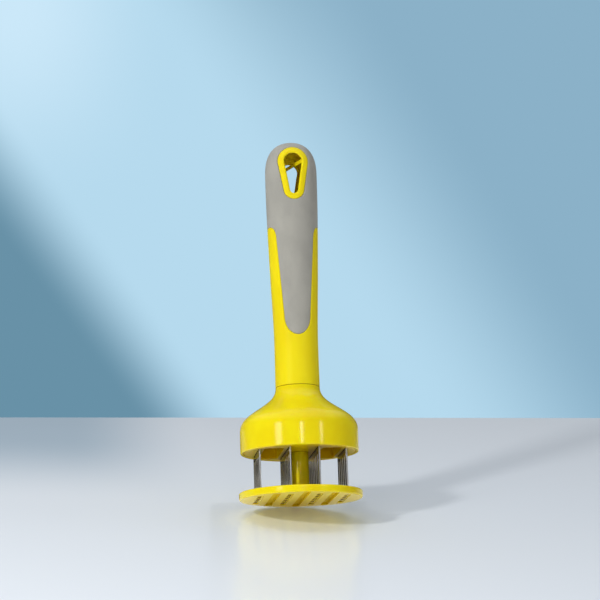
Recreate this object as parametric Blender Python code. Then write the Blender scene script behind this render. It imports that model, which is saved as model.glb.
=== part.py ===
"""Push-down needle tenderizer for meat: a two-shot handle on a flared head.

Four stamped steel needle combs hang from a holder that closes the head. A round
guard plate covers their points. Its post slides in the holder's guide tube, and a
spring inside the handle pushes it down again. Pressed on a slab of meat, the plate
stays where it is and the needles come through its slots.

Units are metres. +Z runs along the handle, the combs run along Y, and the origin is
the centre of the plate's underside.
"""
import math

import bmesh
import bpy

# Gaps between pieces
FIT_GAP = 0.0003
POST_CLEARANCE = 0.00035
CUT_OVERRUN = 0.004

# Guard plate and its post
PLATE_OVERHANG = 0.0014
PLATE_THICKNESS = 0.0044
PLATE_EDGE_ROUND = 0.0009
POST_RADIUS = 0.0053
POST_FILLET = 0.0012
POST_FILLET_RISE_SHARE = 0.85
CHANNEL_WIDTH = 0.0036
CHANNEL_DEPTH = 0.0005
GROOVE_WIDTH = 0.0045
GROOVE_DEPTH = 0.0016
GROOVE_EDGE_MARGIN = 0.0016
SLOT_END_CLEARANCE = 0.00035
SLOT_FACE_CLEARANCE = 0.0006

# Needle combs
COMB_COUNT = 4
COMB_CORNER_MARGIN = 0.0011
COMB_THICKNESS = 0.0010
OUTER_NEEDLE_COUNT = 5
INNER_NEEDLE_COUNT = 7
NEEDLE_WIDTH = 0.0046
NEEDLE_GAP = 0.0034
NEEDLE_TIP_RISE = 0.0010
NEEDLE_TIP_LENGTH = 0.0034
NEEDLE_EDGE_THICKNESS = 0.0003
COMB_BAR_DROP = 0.0035
COMB_SHOULDER = 0.0010
COMB_HEAD_HEIGHT = 0.0020
STOP_GAP = 0.0008

# Flared head
RIM_RISE = 0.0280
BELL_RADIUS = 0.0358
BELL_WALL = 0.0020
BAND_HEIGHT = 0.0130
SHOULDER_HEIGHT = 0.0114
SHOULDER_RADIUS = 0.0280
FLARE_HEIGHT = 0.0156
NECK_RADIUS = 0.0135
NECK_DECK = 0.0022
RIM_ROUND = 0.0004
SHOULDER_FULLNESS_SHARE = 0.48
SHOULDER_LEAN_SHARES = (0.58, 0.73)
FLARE_LEAN_SHARES = (0.52, 0.33)
FLARE_RISE_SHARE = 0.55

# Holder that closes the head and carries the combs
HOLDER_HEIGHT = 0.0090
HOLDER_FLOOR = 0.0025
HOLDER_CEILING = 0.0020
COMB_WALL = 0.0020
POCKET_RIM_WALL = 0.0019
POCKET_CORNER = 0.0020
GUIDE_TUBE_LENGTH = 0.0225
GUIDE_WALL = 0.0017
SNAP_RISE = 0.0050
SNAP_WIDTH = 0.0016
SNAP_HEIGHT = 0.0005

# Plate that keeps the combs down, and its screws
RETAINER_THICKNESS = 0.0018
RETAINER_MARGIN = 0.0007
HOLDER_SCREW_MARGIN = 0.0115
HOLDER_SCREW_RADIUS = 0.0013
HOLDER_SCREW_LENGTH = 0.0060
HOLDER_SCREW_HEAD_RADIUS = 0.0024
HOLDER_SCREW_HEAD_HEIGHT = 0.0017
BOSS_WALL = 0.0014

# Return spring, and the washer and screw on top of the post
WASHER_THICKNESS = 0.0012
STOP_SCREW_RADIUS = 0.0018
STOP_SCREW_LENGTH = 0.0120
STOP_SCREW_HEAD_RADIUS = 0.0038
STOP_SCREW_HEAD_HEIGHT = 0.0024
RECESS_ARM_SHARE = 0.5
RECESS_BLADE_SHARE = 0.14
SPRING_LENGTH = 0.0480
SPRING_WIRE = 0.0011
SPRING_TURNS = 11
SPRING_END_GAP = 0.0005
SPRING_SIDE_CLEARANCE = 0.0012
BORE_CLEARANCE = 0.0005
SPIGOT_WALL = 0.0026
SPIGOT_LENGTH = 0.0140

# Handle
HANDLE_LENGTH = 0.1551
PALM_WIDTH = 0.0322
PALM_DEPTH = 0.0312
DOME_HEIGHT = 0.0210
DOME_SQUARENESS = 2.5
LAST_RING_SHARE = 0.75
GRIP_THICKNESS = 0.0020
HOLE_TOP_RADIUS = 0.0058
HOLE_FOOT_RADIUS = 0.00265
HOLE_CENTRE_DISTANCE = 0.01835
HOLE_TOP_MARGIN = 0.0091
RING_WIDTH = 0.0039
HANDLE_SWELL_SHARES = (
    (0.00, 0.00), (0.15, -0.03), (0.23, 0.02), (0.33, 0.22), (0.42, 0.43),
    (0.52, 0.62), (0.62, 0.80), (0.72, 0.94), (0.82, 1.00), (1.00, 1.00),
)
TONGUE_END_SHARE = 0.197
TONGUE_ROUND_SHARE = 0.272
PANEL_SHOULDER_SHARE = 0.578
PANEL_TOP_SHARE = 0.645
TONGUE_LOW_SHARE = 0.50
TONGUE_HIGH_SHARE = 0.711
PANEL_TOP_BEND_SHARES = ((0.03, 0.58), (0.30, 0.94))

# Facets
ROUND_STEPS = 40
POST_STEPS = 24
SCREW_STEPS = 14
ARC_STEPS = 5
CURVE_STEPS = 5
CORNER_STEPS = 3
HOLE_HEAD_STEPS = 12
HOLE_FOOT_STEPS = 8
HANDLE_STEPS = 36
HANDLE_RINGS = 14
DOME_RINGS = 7
SPRING_STEPS = 8

# Places that several pieces share
HOLDER_TOP = RIM_RISE + HOLDER_HEIGHT
GUIDE_TOP = HOLDER_TOP + GUIDE_TUBE_LENGTH
GUIDE_BORE = POST_RADIUS + POST_CLEARANCE
GUIDE_RADIUS = GUIDE_BORE + GUIDE_WALL
BORE_RADIUS = GUIDE_RADIUS + BORE_CLEARANCE
SPIGOT_RADIUS = BORE_RADIUS + SPIGOT_WALL
POST_TOP = GUIDE_TOP
WASHER_LOW = GUIDE_TOP + FIT_GAP
WASHER_TOP = WASHER_LOW + WASHER_THICKNESS
SPRING_LOW = WASHER_TOP + FIT_GAP
BORE_TOP = SPRING_LOW + SPRING_LENGTH + FIT_GAP
BAND_TOP = RIM_RISE + BAND_HEIGHT
SHOULDER_TOP = BAND_TOP + SHOULDER_HEIGHT
SEAM = SHOULDER_TOP + FLARE_HEIGHT
HANDLE_FOOT = SEAM + FIT_GAP
HANDLE_TOP = HANDLE_FOOT + HANDLE_LENGTH
PLATE_RADIUS = BELL_RADIUS + PLATE_OVERHANG
HOLDER_RADIUS = BELL_RADIUS - BELL_WALL - FIT_GAP
NEEDLE_PITCH = NEEDLE_WIDTH + NEEDLE_GAP
OUTER_COMB_LENGTH = OUTER_NEEDLE_COUNT * NEEDLE_PITCH - NEEDLE_GAP
COMB_SLOT_HALF = COMB_THICKNESS / 2 + FIT_GAP
OUTER_COMB_REACH = math.sqrt((HOLDER_RADIUS - COMB_CORNER_MARGIN) ** 2 - (OUTER_COMB_LENGTH / 2) ** 2)
COMB_SPACING = 2 * (OUTER_COMB_REACH - COMB_SLOT_HALF) / (COMB_COUNT - 1)
COMB_GAP_TOP = RIM_RISE - COMB_BAR_DROP
PRESS_TRAVEL = COMB_GAP_TOP - PLATE_THICKNESS - STOP_GAP
COMB_PLACES = [(index - (COMB_COUNT - 1) / 2) * COMB_SPACING for index in range(COMB_COUNT)]
NEEDLE_COUNTS = [INNER_NEEDLE_COUNT if 0 < index < COMB_COUNT - 1 else OUTER_NEEDLE_COUNT
                 for index in range(COMB_COUNT)]
COMB_ROWS = list(zip(COMB_PLACES, NEEDLE_COUNTS))
RETAINER_LOW = HOLDER_TOP + FIT_GAP
RETAINER_TOP = RETAINER_LOW + RETAINER_THICKNESS
SCREW_OUT = (COMB_PLACES[-1] + COMB_SLOT_HALF + HOLDER_RADIUS) / 2
SCREW_ALONG = HOLDER_RADIUS - HOLDER_SCREW_MARGIN
HOLDER_SCREW_PLACES = ((SCREW_OUT, 0), (0, SCREW_ALONG), (-SCREW_OUT, 0), (0, -SCREW_ALONG))


def clear_scene():
    """Remove whatever the file starts with."""
    for item in list(bpy.data.objects):
        bpy.data.objects.remove(item, do_unlink=True)


def finish(name, colour, roughness, metallic=0.0):
    """Make one Principled material."""
    material = bpy.data.materials.new(name)
    material.use_nodes = True
    shader = material.node_tree.nodes["Principled BSDF"]
    shader.inputs["Base Color"].default_value = (*colour, 1.0)
    shader.inputs["Roughness"].default_value = roughness
    shader.inputs["Metallic"].default_value = metallic
    return material


def mesh_object(name, shape):
    """Turn a bmesh into a linked object with its faces pointing out."""
    bmesh.ops.recalc_face_normals(shape, faces=shape.faces)
    mesh = bpy.data.meshes.new(name)
    shape.to_mesh(mesh)
    shape.free()
    item = bpy.data.objects.new(name, mesh)
    bpy.context.scene.collection.objects.link(item)
    return item


def combine(target, tool, operation):
    """Apply one exact Boolean to the target and remove the tool."""
    modifier = target.modifiers.new("combine", "BOOLEAN")
    modifier.object = tool
    modifier.operation = operation
    modifier.solver = "EXACT"
    bpy.context.view_layer.update()
    evaluated = target.evaluated_get(bpy.context.evaluated_depsgraph_get())
    result = bpy.data.meshes.new_from_object(evaluated)
    target.modifiers.clear()
    target.data = result
    bpy.data.objects.remove(tool, do_unlink=True)
    return target


def cut(target, *tools):
    """Take each tool away from the target."""
    for tool in tools:
        combine(target, tool, "DIFFERENCE")
    return target


def dress(item, material, crease=math.radians(32)):
    """Give a finished solid its material and its shading."""
    item.data.materials.clear()
    item.data.materials.append(material)
    item.data.shade_smooth()
    item.data.set_sharp_from_angle(angle=crease)
    return item


def half_step_angles(steps):
    """List the angles of a ring that has no point on the X and Y planes."""
    return [2 * math.pi * (step + 0.5) / steps for step in range(steps)]


def turned(name, profile, steps=ROUND_STEPS, centre=(0, 0), solid=True):
    """Turn a (radius, height) profile about a vertical line.

    A solid profile is closed by a flat face at each end, and a hollow one by joining
    its last point to its first.
    """
    x, y = centre
    compass = [(math.cos(angle), math.sin(angle)) for angle in half_step_angles(steps)]
    shape = bmesh.new()
    rings = [
        [shape.verts.new((x + radius * east, y + radius * north, height)) for east, north in compass]
        for radius, height in profile
    ]
    following = rings[1:] if solid else rings[1:] + rings[:1]
    for ring, above in zip(rings, following):
        for step in range(steps):
            after = (step + 1) % steps
            shape.faces.new((ring[step], ring[after], above[after], above[step]))
    if solid:
        shape.faces.new(rings[0])
        shape.faces.new(rings[-1])
    return mesh_object(name, shape)


def lofted(name, rings):
    """Skin a stack of rings and close both ends."""
    shape = bmesh.new()
    stack = [[shape.verts.new(point) for point in ring] for ring in rings]
    count = len(stack[0])
    for ring, above in zip(stack, stack[1:]):
        for step in range(count):
            after = (step + 1) % count
            shape.faces.new((ring[step], ring[after], above[after], above[step]))
    shape.faces.new(stack[0])
    shape.faces.new(stack[-1])
    return mesh_object(name, shape)


def prism(name, outline, low, high, axis="Y"):
    """Extrude a closed outline along Y (points are x, z) or along Z (points are x, y)."""
    def place(point, level):
        return (point[0], level, point[1]) if axis == "Y" else (point[0], point[1], level)
    return lofted(name, [[place(point, level) for point in outline] for level in (low, high)])


def boxes(name, extents):
    """Make one cutter of several separate boxes, each given by its low and high corners."""
    shape = bmesh.new()
    for low, high in extents:
        corners = [
            shape.verts.new((x, y, z))
            for z in (low[2], high[2]) for y in (low[1], high[1]) for x in (low[0], high[0])
        ]
        for face in ((0, 1, 3, 2), (4, 6, 7, 5), (0, 4, 5, 1), (2, 3, 7, 6), (0, 2, 6, 4), (1, 5, 7, 3)):
            shape.faces.new([corners[index] for index in face])
    return mesh_object(name, shape)


def cylinder(name, radius, low, high, centre=(0, 0), steps=POST_STEPS):
    """Make a plain upright cylinder."""
    return turned(name, ((radius, low), (radius, high)), steps, centre)


def arc(centre, radius, start, end, steps=ARC_STEPS):
    """List points along an arc, both ends included; angles are in degrees."""
    angles = [math.radians(start + (end - start) * step / steps) for step in range(steps + 1)]
    return [(centre[0] + radius * math.cos(angle), centre[1] + radius * math.sin(angle)) for angle in angles]


def bezier(points, steps=CURVE_STEPS):
    """List points along a cubic curve, its first point left out."""
    found = []
    for step in range(1, steps + 1):
        t = step / steps
        weights = ((1 - t) ** 3, 3 * t * (1 - t) ** 2, 3 * t * t * (1 - t), t ** 3)
        found.append(tuple(sum(w * point[axis] for w, point in zip(weights, points)) for axis in (0, 1)))
    return found


def offset_inward(curve, distance):
    """Move each point of a rising outer profile towards the axis, square to the curve."""
    moved = []
    for index, point in enumerate(curve):
        before = curve[max(index - 1, 0)]
        after = curve[min(index + 1, len(curve) - 1)]
        run = (after[0] - before[0], after[1] - before[1])
        length = math.hypot(*run)
        moved.append((point[0] - distance * run[1] / length, point[1] + distance * run[0] / length))
    return moved


def rounded_box_outline(half_x, half_y, corner, centre_x=0):
    """List a rectangle's outline with round corners."""
    outline = []
    for sign_x, sign_y, start in ((1, 1, 0), (-1, 1, 90), (-1, -1, 180), (1, -1, 270)):
        middle = (centre_x + sign_x * (half_x - corner), sign_y * (half_y - corner))
        outline += arc(middle, corner, start, start + 90, CORNER_STEPS)
    return outline


# Rows of needles

def needle_places(count):
    """List the places of one comb's needles along Y."""
    return [(index - (count - 1) / 2) * NEEDLE_PITCH for index in range(count)]


def comb_reach(count):
    """Give half the length of a comb with this many needles."""
    return (count * NEEDLE_PITCH - NEEDLE_GAP) / 2


# Guard plate

def needle_slots(low, high):
    """List the boxes of the plate's slots, one round each needle."""
    half_x = COMB_THICKNESS / 2 + SLOT_FACE_CLEARANCE
    half_y = NEEDLE_WIDTH / 2 + SLOT_END_CLEARANCE
    return [
        ((x - half_x, y - half_y, low), (x + half_x, y + half_y, high))
        for x, count in COMB_ROWS for y in needle_places(count)
    ]


def underside_runs(places, half_width, edge_margin, depth):
    """List straight recesses in the underside that stop short of the plate's edge."""
    runs = []
    for x in places:
        reach = math.sqrt((PLATE_RADIUS - edge_margin) ** 2 - (abs(x) + half_width) ** 2)
        runs.append(((x - half_width, -reach, -CUT_OVERRUN), (x + half_width, reach, depth)))
    return runs


def build_press_plate(material):
    """Round slotted plate and its post, one moulding."""
    edge = PLATE_EDGE_ROUND
    outer = PLATE_RADIUS - edge
    profile = arc((outer, edge), edge, -90, 0, CORNER_STEPS)
    profile += arc((outer, PLATE_THICKNESS - edge), edge, 0, 90, CORNER_STEPS)
    plate = turned("press_plate", profile)
    fillet_middle = (POST_RADIUS + POST_FILLET, PLATE_THICKNESS + POST_FILLET * POST_FILLET_RISE_SHARE)
    fillet = arc(fillet_middle, POST_FILLET, 270, 180, CORNER_STEPS)
    post_profile = [(fillet[0][0], PLATE_THICKNESS / 2)] + fillet + [(POST_RADIUS, POST_TOP)]
    combine(plate, turned("post", post_profile, POST_STEPS), "UNION")
    channel_half = CHANNEL_WIDTH / 2
    slot_border = channel_half - COMB_THICKNESS / 2 - SLOT_FACE_CLEARANCE
    channels = []
    for x, count in COMB_ROWS:
        reach = comb_reach(count) + SLOT_END_CLEARANCE + slot_border
        channels.append(((x - channel_half, -reach, -CUT_OVERRUN), (x + channel_half, reach, CHANNEL_DEPTH)))
    between = [(low + high) / 2 for low, high in zip(COMB_PLACES, COMB_PLACES[1:])]
    grooves = underside_runs(between, GROOVE_WIDTH / 2, GROOVE_EDGE_MARGIN, GROOVE_DEPTH)
    screw_hole = cylinder("screw_hole", STOP_SCREW_RADIUS + FIT_GAP, WASHER_TOP - STOP_SCREW_LENGTH,
                          POST_TOP + CUT_OVERRUN, steps=SCREW_STEPS)
    cut(plate, boxes("channels", channels), boxes("grooves", grooves),
        boxes("slots", needle_slots(-CUT_OVERRUN, PLATE_THICKNESS + CUT_OVERRUN)), screw_hole)
    return dress(plate, material)


# Needle combs

def build_comb(name, x, count, material):
    """Stamped strip: a solid bar with shoulders, round-topped gaps and pointed needles."""
    half = comb_reach(count)
    tip_start = NEEDLE_TIP_RISE + NEEDLE_TIP_LENGTH
    shoulder = HOLDER_TOP - COMB_HEAD_HEIGHT
    outline = [
        (half, shoulder), (half + COMB_SHOULDER, shoulder), (half + COMB_SHOULDER, HOLDER_TOP),
        (-half - COMB_SHOULDER, HOLDER_TOP), (-half - COMB_SHOULDER, shoulder), (-half, shoulder),
    ]
    for index, y in enumerate(needle_places(count)):
        outline += [(y - NEEDLE_WIDTH / 2, tip_start), (y + NEEDLE_WIDTH / 2, tip_start)]
        if index < count - 1:
            middle = (y + NEEDLE_PITCH / 2, COMB_GAP_TOP - NEEDLE_GAP / 2)
            outline += arc(middle, NEEDLE_GAP / 2, 180, 0)
    shape = bmesh.new()
    sides = []
    for side in (-1, 1):
        face_x = x + side * COMB_THICKNESS / 2
        sides.append([shape.verts.new((face_x, *point)) for point in outline])
        shape.faces.new(sides[-1])
    tips = {}
    for start, point in enumerate(outline):
        end = (start + 1) % len(outline)
        is_needle_end = point[1] == tip_start and outline[end][1] == tip_start
        if is_needle_end and outline[end][0] - point[0] < NEEDLE_PITCH - NEEDLE_GAP / 2:
            tips[start] = end
            continue
        shape.faces.new((sides[0][start], sides[0][end], sides[1][end], sides[1][start]))
    for start, end in tips.items():
        y = (outline[start][0] + outline[end][0]) / 2
        edge = NEEDLE_EDGE_THICKNESS / 2
        points = [shape.verts.new((x + side * edge, y, NEEDLE_TIP_RISE)) for side in (-1, 1)]
        for side, point in enumerate(points):
            shape.faces.new((sides[side][start], sides[side][end], point))
        for corner in (start, end):
            shape.faces.new((sides[0][corner], sides[1][corner], points[1], points[0]))
    return dress(mesh_object(name, shape), material)


# Flared head

def bell_outer_curve():
    """List the outer profile from the top of the band to the seam."""
    width = BELL_RADIUS - SHOULDER_RADIUS
    out, up = SHOULDER_LEAN_SHARES
    shoulder = (
        (BELL_RADIUS, BAND_TOP),
        (BELL_RADIUS, BAND_TOP + SHOULDER_HEIGHT * SHOULDER_FULLNESS_SHARE),
        (SHOULDER_RADIUS + width * out, BAND_TOP + SHOULDER_HEIGHT * up),
        (SHOULDER_RADIUS, SHOULDER_TOP),
    )
    run = SHOULDER_RADIUS - NECK_RADIUS
    out, up = FLARE_LEAN_SHARES
    flare = (
        (SHOULDER_RADIUS, SHOULDER_TOP),
        (SHOULDER_RADIUS - run * out, SHOULDER_TOP + FLARE_HEIGHT * up),
        (NECK_RADIUS, SHOULDER_TOP + FLARE_HEIGHT * FLARE_RISE_SHARE),
        (NECK_RADIUS, SEAM),
    )
    return [shoulder[0]] + bezier(shoulder) + bezier(flare)


def snap_bead(radius, middle):
    """List the three points of a shallow snap bead, from low to high."""
    return [
        (radius, middle - SNAP_WIDTH / 2),
        (radius + SNAP_HEIGHT, middle),
        (radius, middle + SNAP_WIDTH / 2),
    ]


def build_bell(material):
    """Hollow flared shell, with a spigot that plugs into the handle."""
    outer = bell_outer_curve()
    deck = SEAM - NECK_DECK
    inner = [point for point in offset_inward(outer, BELL_WALL) if point[1] < deck - BELL_WALL / 2]
    inside = BELL_RADIUS - BELL_WALL
    spigot_top = SEAM + SPIGOT_LENGTH
    snap = SEAM + SPIGOT_LENGTH / 2
    profile = [(BELL_RADIUS - RIM_ROUND, RIM_RISE), (BELL_RADIUS, RIM_RISE + RIM_ROUND)]
    profile += outer
    profile += [(SPIGOT_RADIUS, SEAM)]
    profile += snap_bead(SPIGOT_RADIUS, snap)
    profile += [(SPIGOT_RADIUS, spigot_top), (BORE_RADIUS, spigot_top)]
    profile += [(BORE_RADIUS, deck), (inner[-1][0], deck)]
    profile += inner[::-1]
    profile += snap_bead(inside, RIM_RISE + SNAP_RISE)[::-1]
    profile += [(inside, RIM_RISE)]
    return dress(turned("bell_head", profile, solid=False), material)


# Holder and retainer

def build_holder(material):
    """Moulding that closes the head: comb slots, pockets, guide tube and bosses."""
    profile = [(HOLDER_RADIUS, RIM_RISE)]
    profile += snap_bead(HOLDER_RADIUS, RIM_RISE + SNAP_RISE)
    profile += [(HOLDER_RADIUS, HOLDER_TOP)]
    holder = turned("blade_holder", profile)
    middle = (RIM_RISE + HOLDER_TOP) / 2
    combine(holder, cylinder("guide_tube", GUIDE_RADIUS, middle, GUIDE_TOP), "UNION")
    slot_half_x = COMB_SLOT_HALF
    head_low = HOLDER_TOP - COMB_HEAD_HEIGHT - FIT_GAP
    top = HOLDER_TOP + CUT_OVERRUN
    slots, heads = [], []
    for x, count in COMB_ROWS:
        reach = comb_reach(count) + FIT_GAP
        slots.append(((x - slot_half_x, -reach, RIM_RISE - CUT_OVERRUN), (x + slot_half_x, reach, top)))
        reach += COMB_SHOULDER
        heads.append(((x - slot_half_x, -reach, head_low), (x + slot_half_x, reach, top)))
    cut(holder, boxes("comb_slots", slots), boxes("comb_heads", heads))
    pocket_half = COMB_SPACING / 2 - slot_half_x - COMB_WALL
    pocket_reach = math.sqrt((HOLDER_RADIUS - POCKET_RIM_WALL) ** 2 - (COMB_SPACING + pocket_half) ** 2)
    for x in (-COMB_SPACING, COMB_SPACING):
        outline = rounded_box_outline(pocket_half, pocket_reach, POCKET_CORNER, centre_x=x)
        cut(holder, prism("pocket", outline, RIM_RISE - CUT_OVERRUN, HOLDER_TOP - HOLDER_CEILING, axis="Z"))
    cut(holder, cylinder("guide_bore", GUIDE_BORE, RIM_RISE - CUT_OVERRUN, GUIDE_TOP + CUT_OVERRUN))
    wall_x = COMB_PLACES[-1] + slot_half_x + COMB_WALL
    inner = HOLDER_RADIUS - COMB_WALL
    spread = math.degrees(math.acos(wall_x / inner))
    for side in (-1, 1):
        outline = [(side * point[0], point[1]) for point in arc((0, 0), inner, -spread, spread)]
        hollow = prism("coring", outline, RIM_RISE + HOLDER_FLOOR, top, axis="Z")
        boss = cylinder("boss", HOLDER_SCREW_RADIUS + FIT_GAP + BOSS_WALL, RIM_RISE, top + CUT_OVERRUN,
                        centre=(side * SCREW_OUT, 0), steps=SCREW_STEPS)
        cut(holder, cut(hollow, boss))
    pilot_low = RETAINER_TOP - HOLDER_SCREW_LENGTH
    for place in HOLDER_SCREW_PLACES:
        cut(holder, cylinder("pilot", HOLDER_SCREW_RADIUS + FIT_GAP, pilot_low, top, place, SCREW_STEPS))
    return dress(holder, material)


def build_retainer(material):
    """Flat plate that lies on the combs and is screwed to the holder."""
    outer = HOLDER_RADIUS - RETAINER_MARGIN
    inner = GUIDE_RADIUS + FIT_GAP
    profile = ((outer, RETAINER_LOW), (outer, RETAINER_TOP), (inner, RETAINER_TOP), (inner, RETAINER_LOW))
    retainer = turned("blade_retainer", profile, solid=False)
    for place in HOLDER_SCREW_PLACES:
        low = RETAINER_LOW - CUT_OVERRUN
        high = RETAINER_TOP + CUT_OVERRUN
        cut(retainer, cylinder("screw_hole", HOLDER_SCREW_RADIUS + FIT_GAP, low, high, place, SCREW_STEPS))
    return dress(retainer, material)


# Screws, washer and spring

def build_screw(name, seat, radius, length, head_radius, head_height, material, centre=(0, 0)):
    """Pan-head screw whose head sits at the given height, with a cross recess."""
    dome = head_height / 2
    profile = [(radius / 2, seat - length), (radius, seat - length + radius / 2), (radius, seat)]
    profile += [(head_radius, seat), (head_radius, seat + dome), (head_radius - dome / 2, seat + head_height)]
    screw = turned(name, profile, SCREW_STEPS, centre)
    arm = head_radius * RECESS_ARM_SHARE
    blade = head_radius * RECESS_BLADE_SHARE
    low = seat + dome
    high = seat + head_height + CUT_OVERRUN
    x, y = centre
    across = ((x - arm, y - blade, low), (x + arm, y + blade, high))
    along = ((x - blade, y - arm, low), (x + blade, y + arm, high))
    return dress(cut(screw, boxes("recess", [across]), boxes("recess", [along])), material)


def build_washer(material):
    """Washer on top of the post that stops the plate's fall."""
    hole = STOP_SCREW_RADIUS + FIT_GAP
    profile = ((GUIDE_RADIUS, WASHER_LOW), (GUIDE_RADIUS, WASHER_TOP), (hole, WASHER_TOP), (hole, WASHER_LOW))
    return dress(turned("stop_washer", profile, POST_STEPS, solid=False), material)


def spring_points(radius):
    """List the middle line of a spring with one closed turn at each end."""
    rise = SPRING_LENGTH - SPRING_WIRE
    end_rise = SPRING_WIRE + SPRING_END_GAP
    points = []
    for step in range(SPRING_TURNS * SPRING_STEPS + 1):
        turn = step / SPRING_STEPS
        if turn <= 1:
            height = end_rise * turn
        elif turn >= SPRING_TURNS - 1:
            height = rise - end_rise * (SPRING_TURNS - turn)
        else:
            height = end_rise + (rise - 2 * end_rise) * (turn - 1) / (SPRING_TURNS - 2)
        angle = 2 * math.pi * turn
        low = SPRING_LOW + SPRING_WIRE / 2
        points.append((radius * math.cos(angle), radius * math.sin(angle), low + height))
    return points


def build_spring(material):
    """Coil spring between the washer and the end of the handle's bore."""
    radius = BORE_RADIUS - SPRING_SIDE_CLEARANCE - SPRING_WIRE / 2
    points = spring_points(radius)
    turn_gaps = [math.dist(first, second) for first, second in zip(points, points[SPRING_STEPS:])]
    print("least gap between the spring's turns:", min(turn_gaps) - SPRING_WIRE)
    curve = bpy.data.curves.new("return_spring", "CURVE")
    curve.dimensions = "3D"
    curve.bevel_depth = SPRING_WIRE / 2
    curve.bevel_resolution = 1
    curve.use_fill_caps = True
    spline = curve.splines.new("POLY")
    spline.points.add(len(points) - 1)
    for target, point in zip(spline.points, points):
        target.co = (*point, 1)
    spring = bpy.data.objects.new("return_spring", curve)
    bpy.context.scene.collection.objects.link(spring)
    curve.materials.append(material)
    return spring


# Handle

def swell(share):
    """Read how far the handle has swollen at a share of its length, on a smooth curve."""
    table = HANDLE_SWELL_SHARES
    for index in range(len(table) - 1):
        (start, low), (end, high) = table[index], table[index + 1]
        if share <= end:
            break
    before = table[max(index - 1, 0)]
    after = table[min(index + 2, len(table) - 1)]
    slope_low = (high - before[1]) / (end - before[0])
    slope_high = (after[1] - low) / (after[0] - start)
    span = end - start
    t = (share - start) / span
    return (
        low * (2 * t ** 3 - 3 * t * t + 1) + high * (3 * t * t - 2 * t ** 3)
        + span * slope_low * (t ** 3 - 2 * t * t + t) + span * slope_high * (t ** 3 - t * t)
    )


def handle_rings(inset, foot):
    """List the handle's rings, all drawn in by one distance."""
    top = HANDLE_TOP - inset
    dome_foot = HANDLE_TOP - DOME_HEIGHT
    heights = [foot + (dome_foot - foot) * step / HANDLE_RINGS for step in range(HANDLE_RINGS + 1)]
    heights += [
        dome_foot + (top - dome_foot) * math.sin(math.pi / 2 * step / DOME_RINGS)
        for step in range(1, DOME_RINGS)
    ]
    heights.append(heights[-1] + (top - heights[-1]) * LAST_RING_SHARE)
    rings = []
    for height in heights:
        grown = swell((height - HANDLE_FOOT) / HANDLE_LENGTH)
        rise = max(0, height - dome_foot) / (top - dome_foot)
        closing = (1 - rise ** DOME_SQUARENESS) ** (1 / DOME_SQUARENESS)
        half_x = (NECK_RADIUS + (PALM_WIDTH / 2 - NECK_RADIUS) * grown - inset) * closing
        half_y = (NECK_RADIUS + (PALM_DEPTH / 2 - NECK_RADIUS) * grown - inset) * closing
        angles = half_step_angles(HANDLE_STEPS)
        rings.append([(half_x * math.cos(angle), half_y * math.sin(angle), height) for angle in angles])
    return rings


def teardrop(margin):
    """List the hang hole's outline, widened by a margin."""
    wide = HOLE_TOP_RADIUS + margin
    narrow = HOLE_FOOT_RADIUS + margin
    high = HANDLE_TOP - HOLE_TOP_MARGIN - HOLE_TOP_RADIUS
    low = high - HOLE_CENTRE_DISTANCE
    lean = math.degrees(math.asin((narrow - wide) / HOLE_CENTRE_DISTANCE))
    head = arc((0, high), wide, lean, 180 - lean, HOLE_HEAD_STEPS)
    return head + arc((0, low), narrow, 180 - lean, 360 + lean, HOLE_FOOT_STEPS)


def grip_outline(margin):
    """List the outline of the soft grip seen from the front: cap above, tongue below."""
    def height(share):
        return HANDLE_FOOT + HANDLE_LENGTH * share
    half = PALM_WIDTH / 2
    low = half * TONGUE_LOW_SHARE + margin
    high = half * TONGUE_HIGH_SHARE + margin
    side = half + CUT_OVERRUN
    round_at = height(TONGUE_ROUND_SHARE)
    drop = round_at - height(TONGUE_END_SHARE) + margin
    shoulder = (high, height(PANEL_SHOULDER_SHARE))
    edge = (half + margin, height(PANEL_TOP_SHARE) - margin)
    bend = [
        (shoulder[0] + (edge[0] - shoulder[0]) * out, shoulder[1] + (edge[1] - shoulder[1]) * up)
        for out, up in PANEL_TOP_BEND_SHARES
    ]
    right = [(low * math.sin(angle), round_at - drop * math.cos(angle))
             for angle in (math.pi / 2 * step / ARC_STEPS for step in range(1, ARC_STEPS + 1))]
    right += [shoulder] + bezier((shoulder, *bend, edge))
    right += [(side, edge[1]), (side, HANDLE_TOP + CUT_OVERRUN)]
    return [(0, round_at - drop)] + right + [(-x, z) for x, z in reversed(right)]


def build_handle_core(material):
    """Hard core: neck, side panels and the ring round the hang hole."""
    core = lofted("handle_core", handle_rings(0, HANDLE_FOOT))
    deep = PALM_DEPTH / 2 + CUT_OVERRUN
    recess = prism("recess", grip_outline(FIT_GAP / 2), -deep, deep)
    cut(recess, lofted("under_grip", handle_rings(GRIP_THICKNESS + FIT_GAP / 2, HANDLE_FOOT)))
    cut(recess, prism("ring", teardrop(RING_WIDTH), -deep - CUT_OVERRUN, deep + CUT_OVERRUN))
    cut(core, recess, prism("hang_hole", teardrop(0), -deep, deep))
    socket = SPIGOT_RADIUS + FIT_GAP
    socket_top = SEAM + SPIGOT_LENGTH + FIT_GAP
    profile = [(socket, HANDLE_FOOT - CUT_OVERRUN)]
    profile += snap_bead(socket, SEAM + SPIGOT_LENGTH / 2)
    profile += [(socket, socket_top), (BORE_RADIUS, socket_top), (BORE_RADIUS, BORE_TOP)]
    cut(core, turned("bore", profile, HANDLE_STEPS))
    return dress(core, material)


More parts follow.
